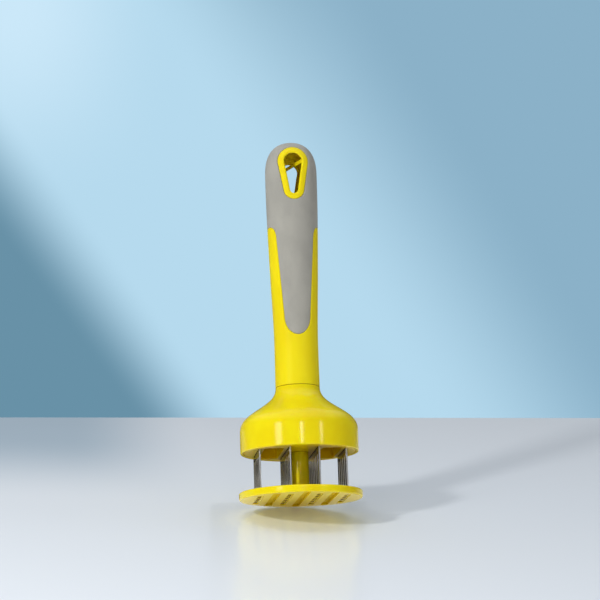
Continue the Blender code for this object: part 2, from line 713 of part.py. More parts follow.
def build_soft_grip(material):
    """Soft overmould: a cap over the handle's end with a tongue down the front and the back."""
    grip = lofted("soft_grip", handle_rings(0, HANDLE_FOOT))
    deep = PALM_DEPTH / 2 + CUT_OVERRUN
    combine(grip, prism("outline", grip_outline(-FIT_GAP / 2), -deep, deep), "INTERSECT")
    cut(grip, lofted("inside", handle_rings(GRIP_THICKNESS - FIT_GAP / 2, HANDLE_FOOT)))
    cut(grip, prism("ring_hole", teardrop(RING_WIDTH + FIT_GAP), -deep, deep))
    return dress(grip, material)


def main():
    """Build every piece and hang the moving ones on the plate's slide."""
    clear_scene()
    gloss = finish("yellow_gloss", (0.87, 0.73, 0.012), 0.22)
    satin = finish("yellow_satin", (0.86, 0.73, 0.013), 0.42)
    grey = finish("grip_grey", (0.40, 0.40, 0.37), 0.72)
    steel = finish("needle_steel", (0.72, 0.72, 0.70), 0.14, 1.0)
    zinc = finish("fastener_steel", (0.60, 0.60, 0.58), 0.35, 1.0)
    build_handle_core(satin)
    build_soft_grip(grey)
    build_bell(gloss)
    build_holder(gloss)
    build_retainer(gloss)
    for number, (x, count) in enumerate(COMB_ROWS, start=1):
        build_comb(f"needle_comb_{number}", x, count, steel)
    seat = RETAINER_TOP + FIT_GAP
    for number, place in enumerate(HOLDER_SCREW_PLACES, start=1):
        build_screw(f"holder_screw_{number}", seat, HOLDER_SCREW_RADIUS, HOLDER_SCREW_LENGTH,
                    HOLDER_SCREW_HEAD_RADIUS, HOLDER_SCREW_HEAD_HEIGHT, zinc, place)
    build_spring(zinc)
    slide = bpy.data.objects.new("plate_slide", None)
    bpy.context.scene.collection.objects.link(slide)
    moving = [
        build_press_plate(gloss),
        build_washer(zinc),
        build_screw("stop_screw", WASHER_TOP + FIT_GAP, STOP_SCREW_RADIUS, STOP_SCREW_LENGTH,
                    STOP_SCREW_HEAD_RADIUS, STOP_SCREW_HEAD_HEIGHT, zinc),
    ]
    for piece in moving:
        piece.parent = slide
    print("travel of the guard plate:", PRESS_TRAVEL)


main()
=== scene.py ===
"""Dressed model of a push-down needle tenderizer, with its floor, lights and camera.

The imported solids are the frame. Each visible piece here is a finer mesh that stands where its
solid stands: the two-shot handle, the flared head, the needle combs, the guard plate, the
return spring and the fasteners. Lengths are metres and angles are degrees, unless a name says
otherwise. +Z runs up the handle, and the combs run along Y.
"""

import logging
import math
from dataclasses import dataclass, field
from enum import Enum
from typing import Callable, Iterable, Sequence

import bmesh
import bpy
import numpy as np
from mathutils import Matrix, Vector


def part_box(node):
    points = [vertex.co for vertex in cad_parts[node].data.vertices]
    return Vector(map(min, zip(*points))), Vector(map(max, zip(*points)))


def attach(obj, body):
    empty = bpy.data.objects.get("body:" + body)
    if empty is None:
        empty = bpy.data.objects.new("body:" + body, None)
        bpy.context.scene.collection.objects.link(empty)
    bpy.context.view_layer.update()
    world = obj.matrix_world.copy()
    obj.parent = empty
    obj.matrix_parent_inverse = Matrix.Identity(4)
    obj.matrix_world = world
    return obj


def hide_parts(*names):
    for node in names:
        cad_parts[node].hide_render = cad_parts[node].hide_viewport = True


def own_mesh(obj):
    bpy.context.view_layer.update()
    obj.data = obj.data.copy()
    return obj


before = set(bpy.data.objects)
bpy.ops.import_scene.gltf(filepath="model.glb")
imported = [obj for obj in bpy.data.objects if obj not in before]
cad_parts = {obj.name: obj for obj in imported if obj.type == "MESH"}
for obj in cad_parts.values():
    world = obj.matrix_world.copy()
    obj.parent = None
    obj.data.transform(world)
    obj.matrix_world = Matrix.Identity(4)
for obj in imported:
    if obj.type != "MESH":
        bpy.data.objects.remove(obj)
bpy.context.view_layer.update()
LOG = logging.getLogger("tenderizer")
TINY = 1e-6
POLE = 1e-7
HALVINGS = 14
NEEDLES = (5, 7, 7, 5)
SEAM_GAP = 0.0003

Point2 = tuple[float, float]
Colour = tuple[float, float, float]
FieldOf = Callable[[np.ndarray], np.ndarray]


class Body(Enum):
    """The frame's bodies."""

    HANDLE = "handle_and_head"
    GUARD = "guard"


class Slot(Enum):
    """The record's material slots."""

    YELLOW_GLOSS = "yellow_gloss"
    YELLOW_SATIN = "yellow_satin"
    GRIP_GREY = "grip_grey"
    NEEDLE_STEEL = "needle_steel"
    FASTENER_STEEL = "fastener_steel"


def linear(red: float, green: float, blue: float) -> Colour:
    """Turn a colour of 0 to 255 steps into linear light.

    Args:
        red: Red share of the colour.
        green: Green share of the colour.
        blue: Blue share of the colour.

    Returns:
        The colour in linear light.
    """
    def channel(step: float) -> float:
        """Turn one channel into linear light."""
        share = step / 255
        return share / 12.92 if share <= 0.04045 else ((share + 0.055) / 1.055) ** 2.4
    return channel(red), channel(green), channel(blue)


def computing(operation: str, swapped: bool = False) -> Callable[..., "Signal"]:
    """Make one operator of Signal, which adds a Math node.

    Args:
        operation: The Math node's operation.
        swapped: Whether the signal stands on the right.

    Returns:
        The method.
    """
    def compute(self: "Signal", other: object = 0.0) -> "Signal":
        """Add the Math node and give its result."""
        first, second = (other, self) if swapped else (self, other)
        return self.graph.math_of(operation, first, second)
    return compute


class Signal:
    """One output socket that Python's operators compute with."""

    __add__, __radd__ = computing("ADD"), computing("ADD", True)
    __sub__, __rsub__ = computing("SUBTRACT"), computing("SUBTRACT", True)
    __mul__, __rmul__ = computing("MULTIPLY"), computing("MULTIPLY", True)
    __truediv__ = computing("DIVIDE")
    __abs__ = computing("ABSOLUTE")

    def __init__(self, graph: "Graph", socket: bpy.types.NodeSocket) -> None:
        """Keep the socket and the graph it belongs to."""
        self.graph = graph
        self.socket = socket

    def of(self, name: str | int) -> "Signal":
        """Give another output of the same node."""
        return Signal(self.graph, self.socket.node.outputs[name])

    def between(self, low: float, high: float) -> "Signal":
        """Rise smoothly from 0 at low to 1 at high."""
        settings = {"interpolation_type": "SMOOTHSTEP"}
        return self.graph.add("ShaderNodeMapRange", settings, {"Value": self, "From Min": low, "From Max": high})


class Graph:
    """A node tree that is written as expressions."""

    def __init__(self, tree: bpy.types.NodeTree) -> None:
        """Keep the tree."""
        self.tree = tree

    def math_of(self, operation: str, first: object, second: object = 0.0) -> Signal:
        """Add one Math node and give its result."""
        return self.add("ShaderNodeMath", {"operation": operation}, {0: first, 1: second})

    def add(
        self,
        kind: str,
        settings: dict[str, object] | None = None,
        sockets: dict[str | int, object] | None = None,
        output: str | int = 0,
    ) -> Signal:
        """Add one node of any type.

        Args:
            kind: The node's type.
            settings: Values of the node itself, set first.
            sockets: Values or signals of its inputs.
            output: Which output to give.

        Returns:
            The named output of the new node.
        """
        node = self.tree.nodes.new(kind)
        for name, value in (settings or {}).items():
            setattr(node, name, value)
        for name, value in (sockets or {}).items():
            if isinstance(value, Signal):
                self.tree.links.new(value.socket, node.inputs[name])
            else:
                node.inputs[name].default_value = value
        return Signal(self, node.outputs[output]) if node.outputs else Signal(self, node.inputs[0])


class Recipe(Graph):
    """Shader graph of one material, in the piece's own coordinates."""

    def __init__(self, name: str) -> None:
        """Start an empty material."""
        self.material = bpy.data.materials.new(name)
        self.material.use_nodes = True
        self.material.node_tree.nodes.clear()
        super().__init__(self.material.node_tree)
        self.place = self.add("ShaderNodeTexCoord", output="Object")

    def axes(self) -> tuple[Signal, Signal, Signal]:
        """Give X, Y and Z of the shaded point."""
        split = self.add("ShaderNodeSeparateXYZ", sockets={0: self.place})
        return split, split.of(1), split.of(2)

    def noise(self, size: float, detail: float = 2.0, stretch: Colour = (1, 1, 1)) -> Signal:
        """Give soft noise with features of one size.

        Args:
            size: Width of a feature in metres.
            detail: How many finer layers it has.
            stretch: How much longer a feature is along each axis.

        Returns:
            The noise, from about 0.2 to 0.8.
        """
        scale = tuple(1 / (size * axis) for axis in stretch)
        mapped = self.add("ShaderNodeMapping", sockets={"Vector": self.place, "Scale": scale})
        return self.add("ShaderNodeTexNoise", sockets={"Vector": mapped, "Scale": 1.0, "Detail": detail})

    def specks(self, size: float, share: float) -> Signal:
        """Give scattered round specks.

        Args:
            size: Distance between the cells that may hold a speck.
            share: Radius of a speck as a share of its cell.

        Returns:
            1 in a speck and 0 outside it.
        """
        scale = (1 / size,) * 3
        mapped = self.add("ShaderNodeMapping", sockets={"Vector": self.place, "Scale": scale})
        cells = self.add("ShaderNodeTexVoronoi", sockets={"Vector": mapped, "Scale": 1.0})
        return 1 - cells.between(share * 0.6, share)

    def mix(self, share: object, first: object, second: object) -> Signal:
        """Mix two colours."""
        settings = {"data_type": "RGBA"}
        return self.add("ShaderNodeMix", settings, {0: share, 6: first, 7: second}, output=2)

    def bump(self, height: Signal, depth: float) -> Signal:
        """Turn a height into a normal; depth is the full height in metres."""
        return self.add("ShaderNodeBump", sockets={"Height": height, "Distance": depth, "Strength": 1.0})

    def finish(self, sockets: dict[str, object]) -> bpy.types.Material:
        """Close the graph with a Principled shader and give the material."""
        shader = self.add("ShaderNodeBsdfPrincipled", sockets=sockets)
        self.add("ShaderNodeOutputMaterial", sockets={"Surface": shader})
        return self.material


def opaque(colour: Colour) -> tuple[float, float, float, float]:
    """Give a colour its full alpha."""
    return (*colour, 1.0)


PLASTIC = {"IOR": 1.49, "Subsurface Radius": (0.0016, 0.0012, 0.0003), "Subsurface Scale": 1.0}


@dataclass(frozen=True)
class GlossMoulding:
    """Glossy injection-moulded plastic with flow marks and fine handling scratches."""

    name: str = "gloss_moulding"
    colour: Colour = linear(247, 229, 19)
    deep: Colour = linear(241, 217, 12)
    roughness: float = 0.11
    glow: float = 0.3
    shine: float = 0.35
    flow_size: float = 0.021
    scratch_size: float = 0.0016
    dust_cell: float = 0.0052
    dust_share: float = 0.028
    wave_size: float = 0.0065
    grain_size: float = 0.0004
    relief: float = 0.000045

    def build(self) -> bpy.types.Material:
        """Make the material."""
        recipe = Recipe(self.name)
        flow = recipe.noise(self.flow_size, 3.0, (1.0, 1.0, 1.6))
        scratches = recipe.noise(self.scratch_size, 3.0, (8.0, 8.0, 0.35)).between(0.58, 0.74)
        dust = recipe.specks(self.dust_cell, self.dust_share)
        waves = recipe.noise(self.wave_size, 1.0)
        grain = recipe.noise(self.grain_size, 2.0)
        base = recipe.mix(flow.between(0.32, 0.70), opaque(self.colour), opaque(self.deep))
        base, matt = self.painted_light_and_matt(recipe, base)
        height = waves * 0.85 + grain * 0.012 + dust * 0.30
        return recipe.finish({
            "Base Color": base,
            "Roughness": self.roughness + flow * 0.05 + scratches * 0.05 + dust * 0.25 + matt,
            "Normal": recipe.bump(height, self.relief),
            "Subsurface Weight": self.glow,
            "Specular IOR Level": self.shine,
            **PLASTIC,
        })

    def painted_light_and_matt(self, recipe: Recipe, base: Signal) -> tuple[Signal, object]:
        """Give the base colour with any painted light or shade, and any extra roughness; plain here."""
        return base, 0.0


@dataclass(frozen=True)
class PlateMoulding(GlossMoulding):
    """The same plastic, matt on the lands of the plate, with painted light: a painted reflection makes the lands
    paler, and painted shade makes the grooves deeper and the slot walls dark.
    """

    name: str = "plate_moulding"
    # The lands' colour is a painted reflection: paler, as if the lands reflected the pale floor.
    land_painted_pale: Colour = linear(240, 222, 110)
    # The groove and slot colours are painted shade: deeper amber in the grooves, dark brown on the slot walls.
    groove: Colour = linear(232, 206, 4)
    slot: Colour = linear(120, 84, 6)
    rim_inside: float = 0.0361
    row_places: Point2 = (0.008646, 0.025937)
    rim_blend: float = 0.0003
    land_levels: Point2 = (0.0001, 0.0004)
    groove_levels: Point2 = (0.0004, 0.0010)
    top_levels: Point2 = (0.0039, 0.0042)
    slot_sides: Point2 = (0.0012, 0.0015)
    land_share: float = 0.6
    land_matt: float = 0.16
    groove_matt: float = 0.45

    def painted_light_and_matt(self, recipe: Recipe, base: Signal) -> tuple[Signal, Signal]:
        """Paint the flat lands paler as a painted reflection, and the grooves and the slot walls darker as painted
        shade; the lands and grooves are also made matt.
        """
        x, y, z = recipe.axes()
        near, far = self.rim_inside - self.rim_blend, self.rim_inside + self.rim_blend
        inside = 1 - (x * x + y * y).between(near ** 2, far ** 2)
        land_painted_pale = (1 - z.between(*self.land_levels)) * inside
        groove = z.between(*self.groove_levels) * (1 - z.between(*self.top_levels)) * inside
        inner, outer = (abs(abs(x) - place).between(*self.slot_sides) for place in self.row_places)
        slot = groove * (1 - inner * outer)
        # Painted reflection pales the lands; painted shade deepens the grooves and darkens the slot walls.
        base = recipe.mix(land_painted_pale * self.land_share, base, opaque(self.land_painted_pale))
        base = recipe.mix(groove, base, opaque(self.groove))
        matt = land_painted_pale * self.land_matt + groove * self.groove_matt
        return recipe.mix(slot, base, opaque(self.slot)), matt


@dataclass(frozen=True)
class SatinMoulding:
    """Hard plastic with a fine spark-eroded texture."""

    name: str = "satin_moulding"
    colour: Colour = linear(246, 228, 22)
    deep: Colour = linear(240, 216, 13)
    roughness: float = 0.36
    glow: float = 0.3
    shine: float = 0.25
    flow_size: float = 0.024
    grain_size: float = 0.00042
    rub_size: float = 0.012
    dust_cell: float = 0.0068
    dust_share: float = 0.026
    relief: float = 0.000022

    def build(self) -> bpy.types.Material:
        """Make the material."""
        recipe = Recipe(self.name)
        flow = recipe.noise(self.flow_size, 3.0, (1.0, 1.0, 2.2))
        grain = recipe.noise(self.grain_size, 2.0)
        rubbed = recipe.noise(self.rub_size, 4.0, (1.0, 1.0, 2.5)).between(0.45, 0.75)
        dust = recipe.specks(self.dust_cell, self.dust_share)
        base = recipe.mix(flow.between(0.30, 0.72), opaque(self.colour), opaque(self.deep))
        return recipe.finish({
            "Base Color": base,
            "Roughness": self.roughness + grain * 0.10 - rubbed * 0.06 + dust * 0.2,
            "Normal": recipe.bump(grain + dust * 0.5, self.relief),
            "Subsurface Weight": self.glow,
            "Specular IOR Level": self.shine,
            **PLASTIC,
        })


@dataclass(frozen=True)
class SoftTouch:
    """Matt soft overmould with a fine leathery grain and a little dust."""

    name: str = "soft_touch"
    colour: Colour = linear(171, 169, 160)
    worn: Colour = linear(161, 159, 151)
    fleck: Colour = linear(196, 194, 187)
    roughness: float = 0.50
    cloud_size: float = 0.011
    grain_size: float = 0.00055
    pore_cell: float = 0.0009
    pore_share: float = 0.34
    fleck_cell: float = 0.0042
    fleck_share: float = 0.05
    relief: float = 0.00006
    sheen: float = 0.08

    def build(self) -> bpy.types.Material:
        """Make the material."""
        recipe = Recipe(self.name)
        cloud = recipe.noise(self.cloud_size, 4.0, (1.0, 1.0, 1.8))
        grain = recipe.noise(self.grain_size, 3.0)
        pores = recipe.specks(self.pore_cell, self.pore_share)
        flecks = recipe.specks(self.fleck_cell, self.fleck_share)
        base = recipe.mix(cloud.between(0.34, 0.70), opaque(self.colour), opaque(self.worn))
        base = recipe.mix(flecks * 0.6, base, opaque(self.fleck))
        return recipe.finish({
            "Base Color": base,
            "Roughness": self.roughness + grain * 0.16 - cloud.between(0.5, 0.8) * 0.05,
            "Normal": recipe.bump(grain * 0.9 - pores * 0.35, self.relief),
            "IOR": 1.45,
            "Sheen Weight": self.sheen,
            "Sheen Roughness": 0.5,
        })


@dataclass(frozen=True)
class BladeSteel:
    """Polished stainless strip with grinding lines along its needles; its broad faces are painted near black as a
    painted dark reflection, its sheared edges stay bright.
    """

    name: str = "blade_steel"
    bright: Colour = (0.80, 0.80, 0.785)
    dull: Colour = (0.62, 0.615, 0.60)
    # The face colour is a painted dark reflection, put on the broad faces.
    face: Colour = (0.13, 0.125, 0.115)
    roughness: float = 0.10
    sheared_roughness: float = 0.22
    line_size: float = 0.00028
    cloud_size: float = 0.0045
    wave_size: float = 0.0032
    relief: float = 0.00005

    def build(self) -> bpy.types.Material:
        """Make the material."""
        recipe = Recipe(self.name)
        lines = recipe.noise(self.line_size, 3.0, (1.0, 1.0, 90.0))
        cloud = recipe.noise(self.cloud_size, 3.0, (1.0, 1.0, 2.4))
        waves = recipe.noise(self.wave_size, 1.0, (1.0, 1.0, 4.0))
        facing = recipe.add("ShaderNodeTexCoord", output="Normal")
        sheared = 1 - abs(recipe.add("ShaderNodeSeparateXYZ", sockets={0: facing})).between(0.35, 0.75)
        base = recipe.mix(cloud.between(0.35, 0.75), opaque(self.bright), opaque(self.dull))
        # Painted dark reflection: the broad faces take the near-black face colour, and the sheared edges keep the
        # bright steel.
        base = recipe.mix(sheared, opaque(self.face), base)
        return recipe.finish({
            "Base Color": base,
            "Metallic": 1.0,
            "Roughness": self.roughness + lines * 0.10 + cloud * 0.04 + sheared * self.sheared_roughness,
            "Normal": recipe.bump(waves + lines * 0.05, self.relief),
        })


@dataclass(frozen=True)
class PlatedSteel:
    """Bright zinc plating with a faint mottle."""

    name: str = "plated_steel"
    colour: Colour = (0.62, 0.62, 0.60)
    warm: Colour = (0.55, 0.53, 0.47)
    roughness: float = 0.30
    mottle_size: float = 0.0012
    relief: float = 0.00002

    def build(self) -> bpy.types.Material:
        """Make the material."""
        recipe = Recipe(self.name)
        mottle = recipe.noise(self.mottle_size, 4.0)
        base = recipe.mix(mottle.between(0.4, 0.7), opaque(self.colour), opaque(self.warm))
        return recipe.finish({
            "Base Color": base,
            "Metallic": 1.0,
            "Roughness": self.roughness + mottle * 0.12,
            "Normal": recipe.bump(mottle, self.relief),
        })


class Growth(Graph):
    """Geometry Nodes tree of one piece, with named inputs for its sizes."""

    def __init__(self, name: str) -> None:
        """Start a tree with a geometry output."""
        self.name = name
        super().__init__(bpy.data.node_groups.new(name, "GeometryNodeTree"))
        self.tree.interface.new_socket("Geometry", in_out="OUTPUT", socket_type="NodeSocketGeometry")
        self.values: dict[str, object] = {}
        self.given = self.tree.nodes.new("NodeGroupInput")

    def size(self, name: str, value: object, kind: str = "Float") -> Signal:
        """Add a named input.

        Args:
            name: The input's name.
            value: What the finished piece sets it to.
            kind: The socket's kind, such as Float, Int, Vector or Object.

        Returns:
            The input inside the tree.
        """
        made = self.tree.interface.new_socket(name, in_out="INPUT", socket_type=f"NodeSocket{kind}")
        self.values[made.identifier] = value
        return Signal(self, self.given.outputs[name])

    def copy_of(self, name: str, item: bpy.types.Object) -> Signal:
        """Add an object as a named input and give its geometry."""
        given = self.size(name, item, "Object")
        return self.add("GeometryNodeObjectInfo", sockets={"Object": given}, output="Geometry")

    def vector(self, **axes: object) -> Signal:
        """Give a vector with some of its axes set."""
        return self.add("ShaderNodeCombineXYZ", sockets=axes)

    def moved(self, shape: Signal, by: Signal, **more: object) -> Signal:
        """Move a geometry."""
        return self.add("GeometryNodeTransform", sockets={"Geometry": shape, "Translation": by, **more})

    def on_points(self, points: Signal, shape: Signal) -> Signal:
        """Put a copy of a geometry on each point."""
        return self.add("GeometryNodeInstanceOnPoints", sockets={"Points": points, "Instance": shape})

    def join(self, shapes: Sequence[Signal]) -> Signal:
        """Join several geometries."""
        joined = self.add("GeometryNodeJoinGeometry")
        for shape in shapes:
            self.tree.links.new(shape.socket, joined.socket.node.inputs[0])
        return joined

    def grow(self, shape: Signal, material: bpy.types.Material) -> bpy.types.Object:
        """Close the tree and turn its result into a plain mesh object.

        Args:
            shape: The geometry to show.
            material: The finish of all its faces.

        Returns:
            An object with a plain mesh and no modifier.
        """
        real = self.add("GeometryNodeRealizeInstances", sockets={0: shape})
        dressed = self.add("GeometryNodeSetMaterial", sockets={"Geometry": real, "Material": material})
        self.add("NodeGroupOutput", sockets={"Geometry": dressed})
        item = linked(self.name, bpy.data.meshes.new(self.name))
        modifier = item.modifiers.new("growth", "NODES")
        modifier.node_group = self.tree
        for identifier, value in self.values.items():
            modifier[identifier] = value
        return freeze(item)


def linked(name: str, data: bpy.types.ID) -> bpy.types.Object:
    """Make an object of some data and put it in the scene."""
    item = bpy.data.objects.new(name, data)
    bpy.context.scene.collection.objects.link(item)
    return item


def hide_from(item: bpy.types.Object, *rays: str) -> None:
    """Keep an object out of some kinds of rays, such as glossy or shadow."""
    for ray in rays:
        setattr(item, f"visible_{ray}", False)


def freeze(item: bpy.types.Object) -> bpy.types.Object:
    """Apply all modifiers of an object and leave it a plain mesh."""
    bpy.context.view_layer.update()
    evaluated = item.evaluated_get(bpy.context.evaluated_depsgraph_get())
    mesh = bpy.data.meshes.new_from_object(evaluated)
    item.modifiers.clear()
    item.data = mesh
    return item


def solid(name: str, shape: bmesh.types.BMesh, recalculate: bool = True) -> bpy.types.Object:
    """Turn a bmesh into a linked object.

    Args:
        name: The object's name.
        shape: The mesh, which is freed.
        recalculate: Whether to turn all faces outwards.

    Returns:
        The new object.
    """
    if recalculate:
        bmesh.ops.recalc_face_normals(shape, faces=shape.faces)
    mesh = bpy.data.meshes.new(name)
    shape.to_mesh(mesh)
    shape.free()
    return linked(name, mesh)


def carve(item: bpy.types.Object, cutter: bpy.types.Object, operation: str = "DIFFERENCE") -> bpy.types.Object:
    """Apply one exact Boolean and remove its cutter."""
    modifier = item.modifiers.new("carve", "BOOLEAN")
    modifier.object = cutter
    modifier.operation = operation
    modifier.solver = "EXACT"
    freeze(item)
    bpy.data.objects.remove(cutter, do_unlink=True)
    return item


def soften(item: bpy.types.Object, width: float = 0.0, segments: int = 2, crease: float = 32) -> bpy.types.Object:
    """Round the sharp edges and weigh the normals by face area.

    Args:
        item: The piece.
        width: Width of the rounded edges, or 0 for none.
        segments: Faces across a rounded edge.
        crease: Edges sharper than this angle are rounded or stay crisp.

    Returns:
        The same piece with a plain mesh.
    """
    if width:
        bevel = item.modifiers.new("edges", "BEVEL")
        bevel.width = width
        bevel.segments = segments
        bevel.limit_method = "ANGLE"
        bevel.angle_limit = math.radians(crease)
        bevel.harden_normals = False
        bevel.use_clamp_overlap = True
        freeze(item)
    item.data.shade_smooth()
    item.data.set_sharp_from_angle(angle=math.radians(crease + 8))
    weighted = item.modifiers.new("normals", "WEIGHTED_NORMAL")
    weighted.keep_sharp = True
    weighted.weight = 80
    return freeze(item)


def settle(item: bpy.types.Object, material: bpy.types.Material, slot: Slot, body: Body, *nodes: str) -> None:
    """Dress a finished piece and hang it on the frame.

    Args:
        item: The piece.
        material: Its finish.
        slot: The record's slot of that finish; not used.
        body: The body it moves with.
        nodes: The solids it stands for.
    """
    item.data.materials.clear()
    item.data.materials.append(material)
    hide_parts(*nodes)
    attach(item, body.value)
    LOG.info("%s stands for %s: %d faces", item.name, ", ".join(nodes), len(item.data.polygons))


def arc(centre: Point2, radius: float, start: float, end: float, steps: int) -> list[Point2]:
    """List points along an arc, both ends included."""
    angles = [math.radians(start + (end - start) * step / steps) for step in range(steps + 1)]
    return [(centre[0] + radius * math.cos(angle), centre[1] + radius * math.sin(angle)) for angle in angles]


def bezier(points: Sequence[Point2], steps: int) -> list[Point2]:
    """List points along a cubic curve, its first point left out."""
    found = []
    for step in range(1, steps + 1):
        t = step / steps
        weights = ((1 - t) ** 3, 3 * t * (1 - t) ** 2, 3 * t * t * (1 - t), t ** 3)
        found.append(tuple(sum(w * point[axis] for w, point in zip(weights, points)) for axis in (0, 1)))
    return found


def filleted(corners: Sequence[tuple[float, float, float]], steps: int = 4, closed: bool = True) -> list[Point2]:
    """Round the corners of an outline.

    Args:
        corners: Points with the radius of each corner; 0 stays sharp.
        steps: Faces across a round corner.
        closed: Whether the last point joins the first.

    Returns:
        The outline's points.
    """
    found: list[Point2] = []
    count = len(corners)
    for index, (x, y, radius) in enumerate(corners):
        at_end = not closed and index in (0, count - 1)
        if radius <= 0 or at_end:
            found.append((x, y))
            continue
        here = Vector((x, y))
        before = Vector(corners[index - 1][:2]) - here
        after = Vector(corners[(index + 1) % count][:2]) - here
        half = before.angle(after) / 2
        reach = min(radius / math.tan(half), 0.49 * before.length, 0.49 * after.length)
        radius = reach * math.tan(half)
        middle = here + (before.normalized() + after.normalized()).normalized() * radius / math.sin(half)
        first = here + before.normalized() * reach - middle
        last = here + after.normalized() * reach - middle
        turn = first.angle_signed(last)
        for step in range(steps + 1):
            spoke = first.copy()
            spoke.rotate(Matrix.Rotation(-turn * step / steps, 2))
            found.append(tuple(middle + spoke))
    return found


def lathe(name: str, profile: Sequence[Point2], steps: int = 144, closed: bool = False) -> bpy.types.Object:
    """Turn a (radius, height) profile about Z.

    Args:
        name: The object's name.
        profile: Points from one end to the other; radius 0 is a pole.
        steps: Facets round the axis.
        closed: Whether the last point joins the first; otherwise flat ends close it.

    Returns:
        The closed solid.
    """
    shape = bmesh.new()
    compass = [(math.cos(2 * math.pi * step / steps), math.sin(2 * math.pi * step / steps)) for step in range(steps)]
    rings = []
    for radius, height in profile:
        if radius < POLE:
            rings.append([shape.verts.new((0, 0, height))] * steps)
        else:
            rings.append([shape.verts.new((radius * east, radius * north, height)) for east, north in compass])
    following = rings[1:] + rings[:1] if closed else rings[1:]
    for ring, above in zip(rings, following):
        for step in range(steps):
            after = (step + 1) % steps
            corners = dict.fromkeys((ring[step], ring[after], above[after], above[step]))
            if len(corners) > 2:
                shape.faces.new(corners)
    if not closed:
        for ring in (rings[0], rings[-1]):
            if ring[0] is not ring[1]:
                shape.faces.new(ring)
    return solid(name, shape)


def prism(name: str, outline: Sequence[Point2], low: float, high: float, axis: str = "Z") -> bpy.types.Object:
    """Extrude a closed outline.

    Args:
        name: The object's name.
        outline: Points as x, y for axis Z, as x, z for axis Y, and as y, z for axis X.
        low: Where it starts along the axis.
        high: Where it ends.
        axis: The axis it is extruded along.

    Returns:
        The closed solid.
    """
    def place(point: Point2, level: float) -> Colour:
        """Place a point of the outline at a level."""
        first, second = point
        places = {"X": (level, first, second), "Y": (first, level, second), "Z": (first, second, level)}
        return places[axis]
    shape = bmesh.new()
    lower, upper = ([shape.verts.new(place(point, level)) for point in outline] for level in (low, high))
    for index in range(len(outline)):
        after = (index + 1) % len(outline)
        shape.faces.new((lower[index], lower[after], upper[after], upper[index]))
    shape.faces.new(lower)
    shape.faces.new(upper)
    return solid(name, shape)


def rounded_box(half_x: float, half_y: float, corner: float, centre: Point2 = (0, 0), steps: int = 6) -> list[Point2]:
    """List the outline of a rectangle with round corners."""
    x, y = centre
    corners = [(x + half_x, y + half_y), (x - half_x, y + half_y), (x - half_x, y - half_y), (x + half_x, y - half_y)]
    return filleted([(*corner_point, corner) for corner_point in corners], steps)


def imprint(shape: bmesh.types.BMesh, level_of: FieldOf, level: float) -> None:
    """Cut a mesh's faces along one level of a field.

    Args:
        shape: The mesh.
        level_of: Gives the field's value at each of an array of points.
        level: The value along which the faces are cut.
    """
    shape.verts.index_update()
    places = np.array([vertex.co for vertex in shape.verts])
    above = level_of(places) > level
    crossing = [edge for edge in shape.edges if above[edge.verts[0].index] != above[edge.verts[1].index]]
    starts = np.array([edge.verts[0].co for edge in crossing])
    ends = np.array([edge.verts[1].co for edge in crossing])
    start_above = np.array([above[edge.verts[0].index] for edge in crossing])
    low, high = np.zeros(len(crossing)), np.ones(len(crossing))
    for _ in range(HALVINGS):
        middle = (low + high) / 2
        same = (level_of(starts + (ends - starts) * middle[:, None]) > level) == start_above
        low, high = np.where(same, middle, low), np.where(same, high, middle)
    made = [
        bmesh.utils.edge_split(edge, edge.verts[0], float(share))[1]
        for edge, share in zip(crossing, (low + high) / 2)
    ]
    bmesh.ops.connect_verts(shape, verts=made)


def distance_to_line(points: np.ndarray, line: np.ndarray) -> np.ndarray:
    """Measure signed distances from a closed outline in the plane, positive inside it.

    Args:
        points: The points, as rows of two numbers.
        line: The outline's points in order.

    Returns:
        One distance for each point.
    """
    starts, spans = line, np.roll(line, -1, axis=0) - line
    offset = points[:, None, :] - starts[None]
    share = np.clip((offset * spans).sum(2) / (spans * spans).sum(1), 0, 1)
    nearest = np.linalg.norm(offset - share[..., None] * spans, axis=2).min(1)
    ends = starts + spans
    spanned = (starts[:, 1] > points[:, 1:2]) != (ends[:, 1] > points[:, 1:2])
    rise = np.where(spans[:, 1] == 0, 1e-12, spans[:, 1])
    crossing = starts[:, 0] + (points[:, 1:2] - starts[:, 1]) * spans[:, 0] / rise
    inside = (spanned & (points[:, 0:1] < crossing)).sum(1) % 2 == 1
    return np.where(inside, nearest, -nearest)


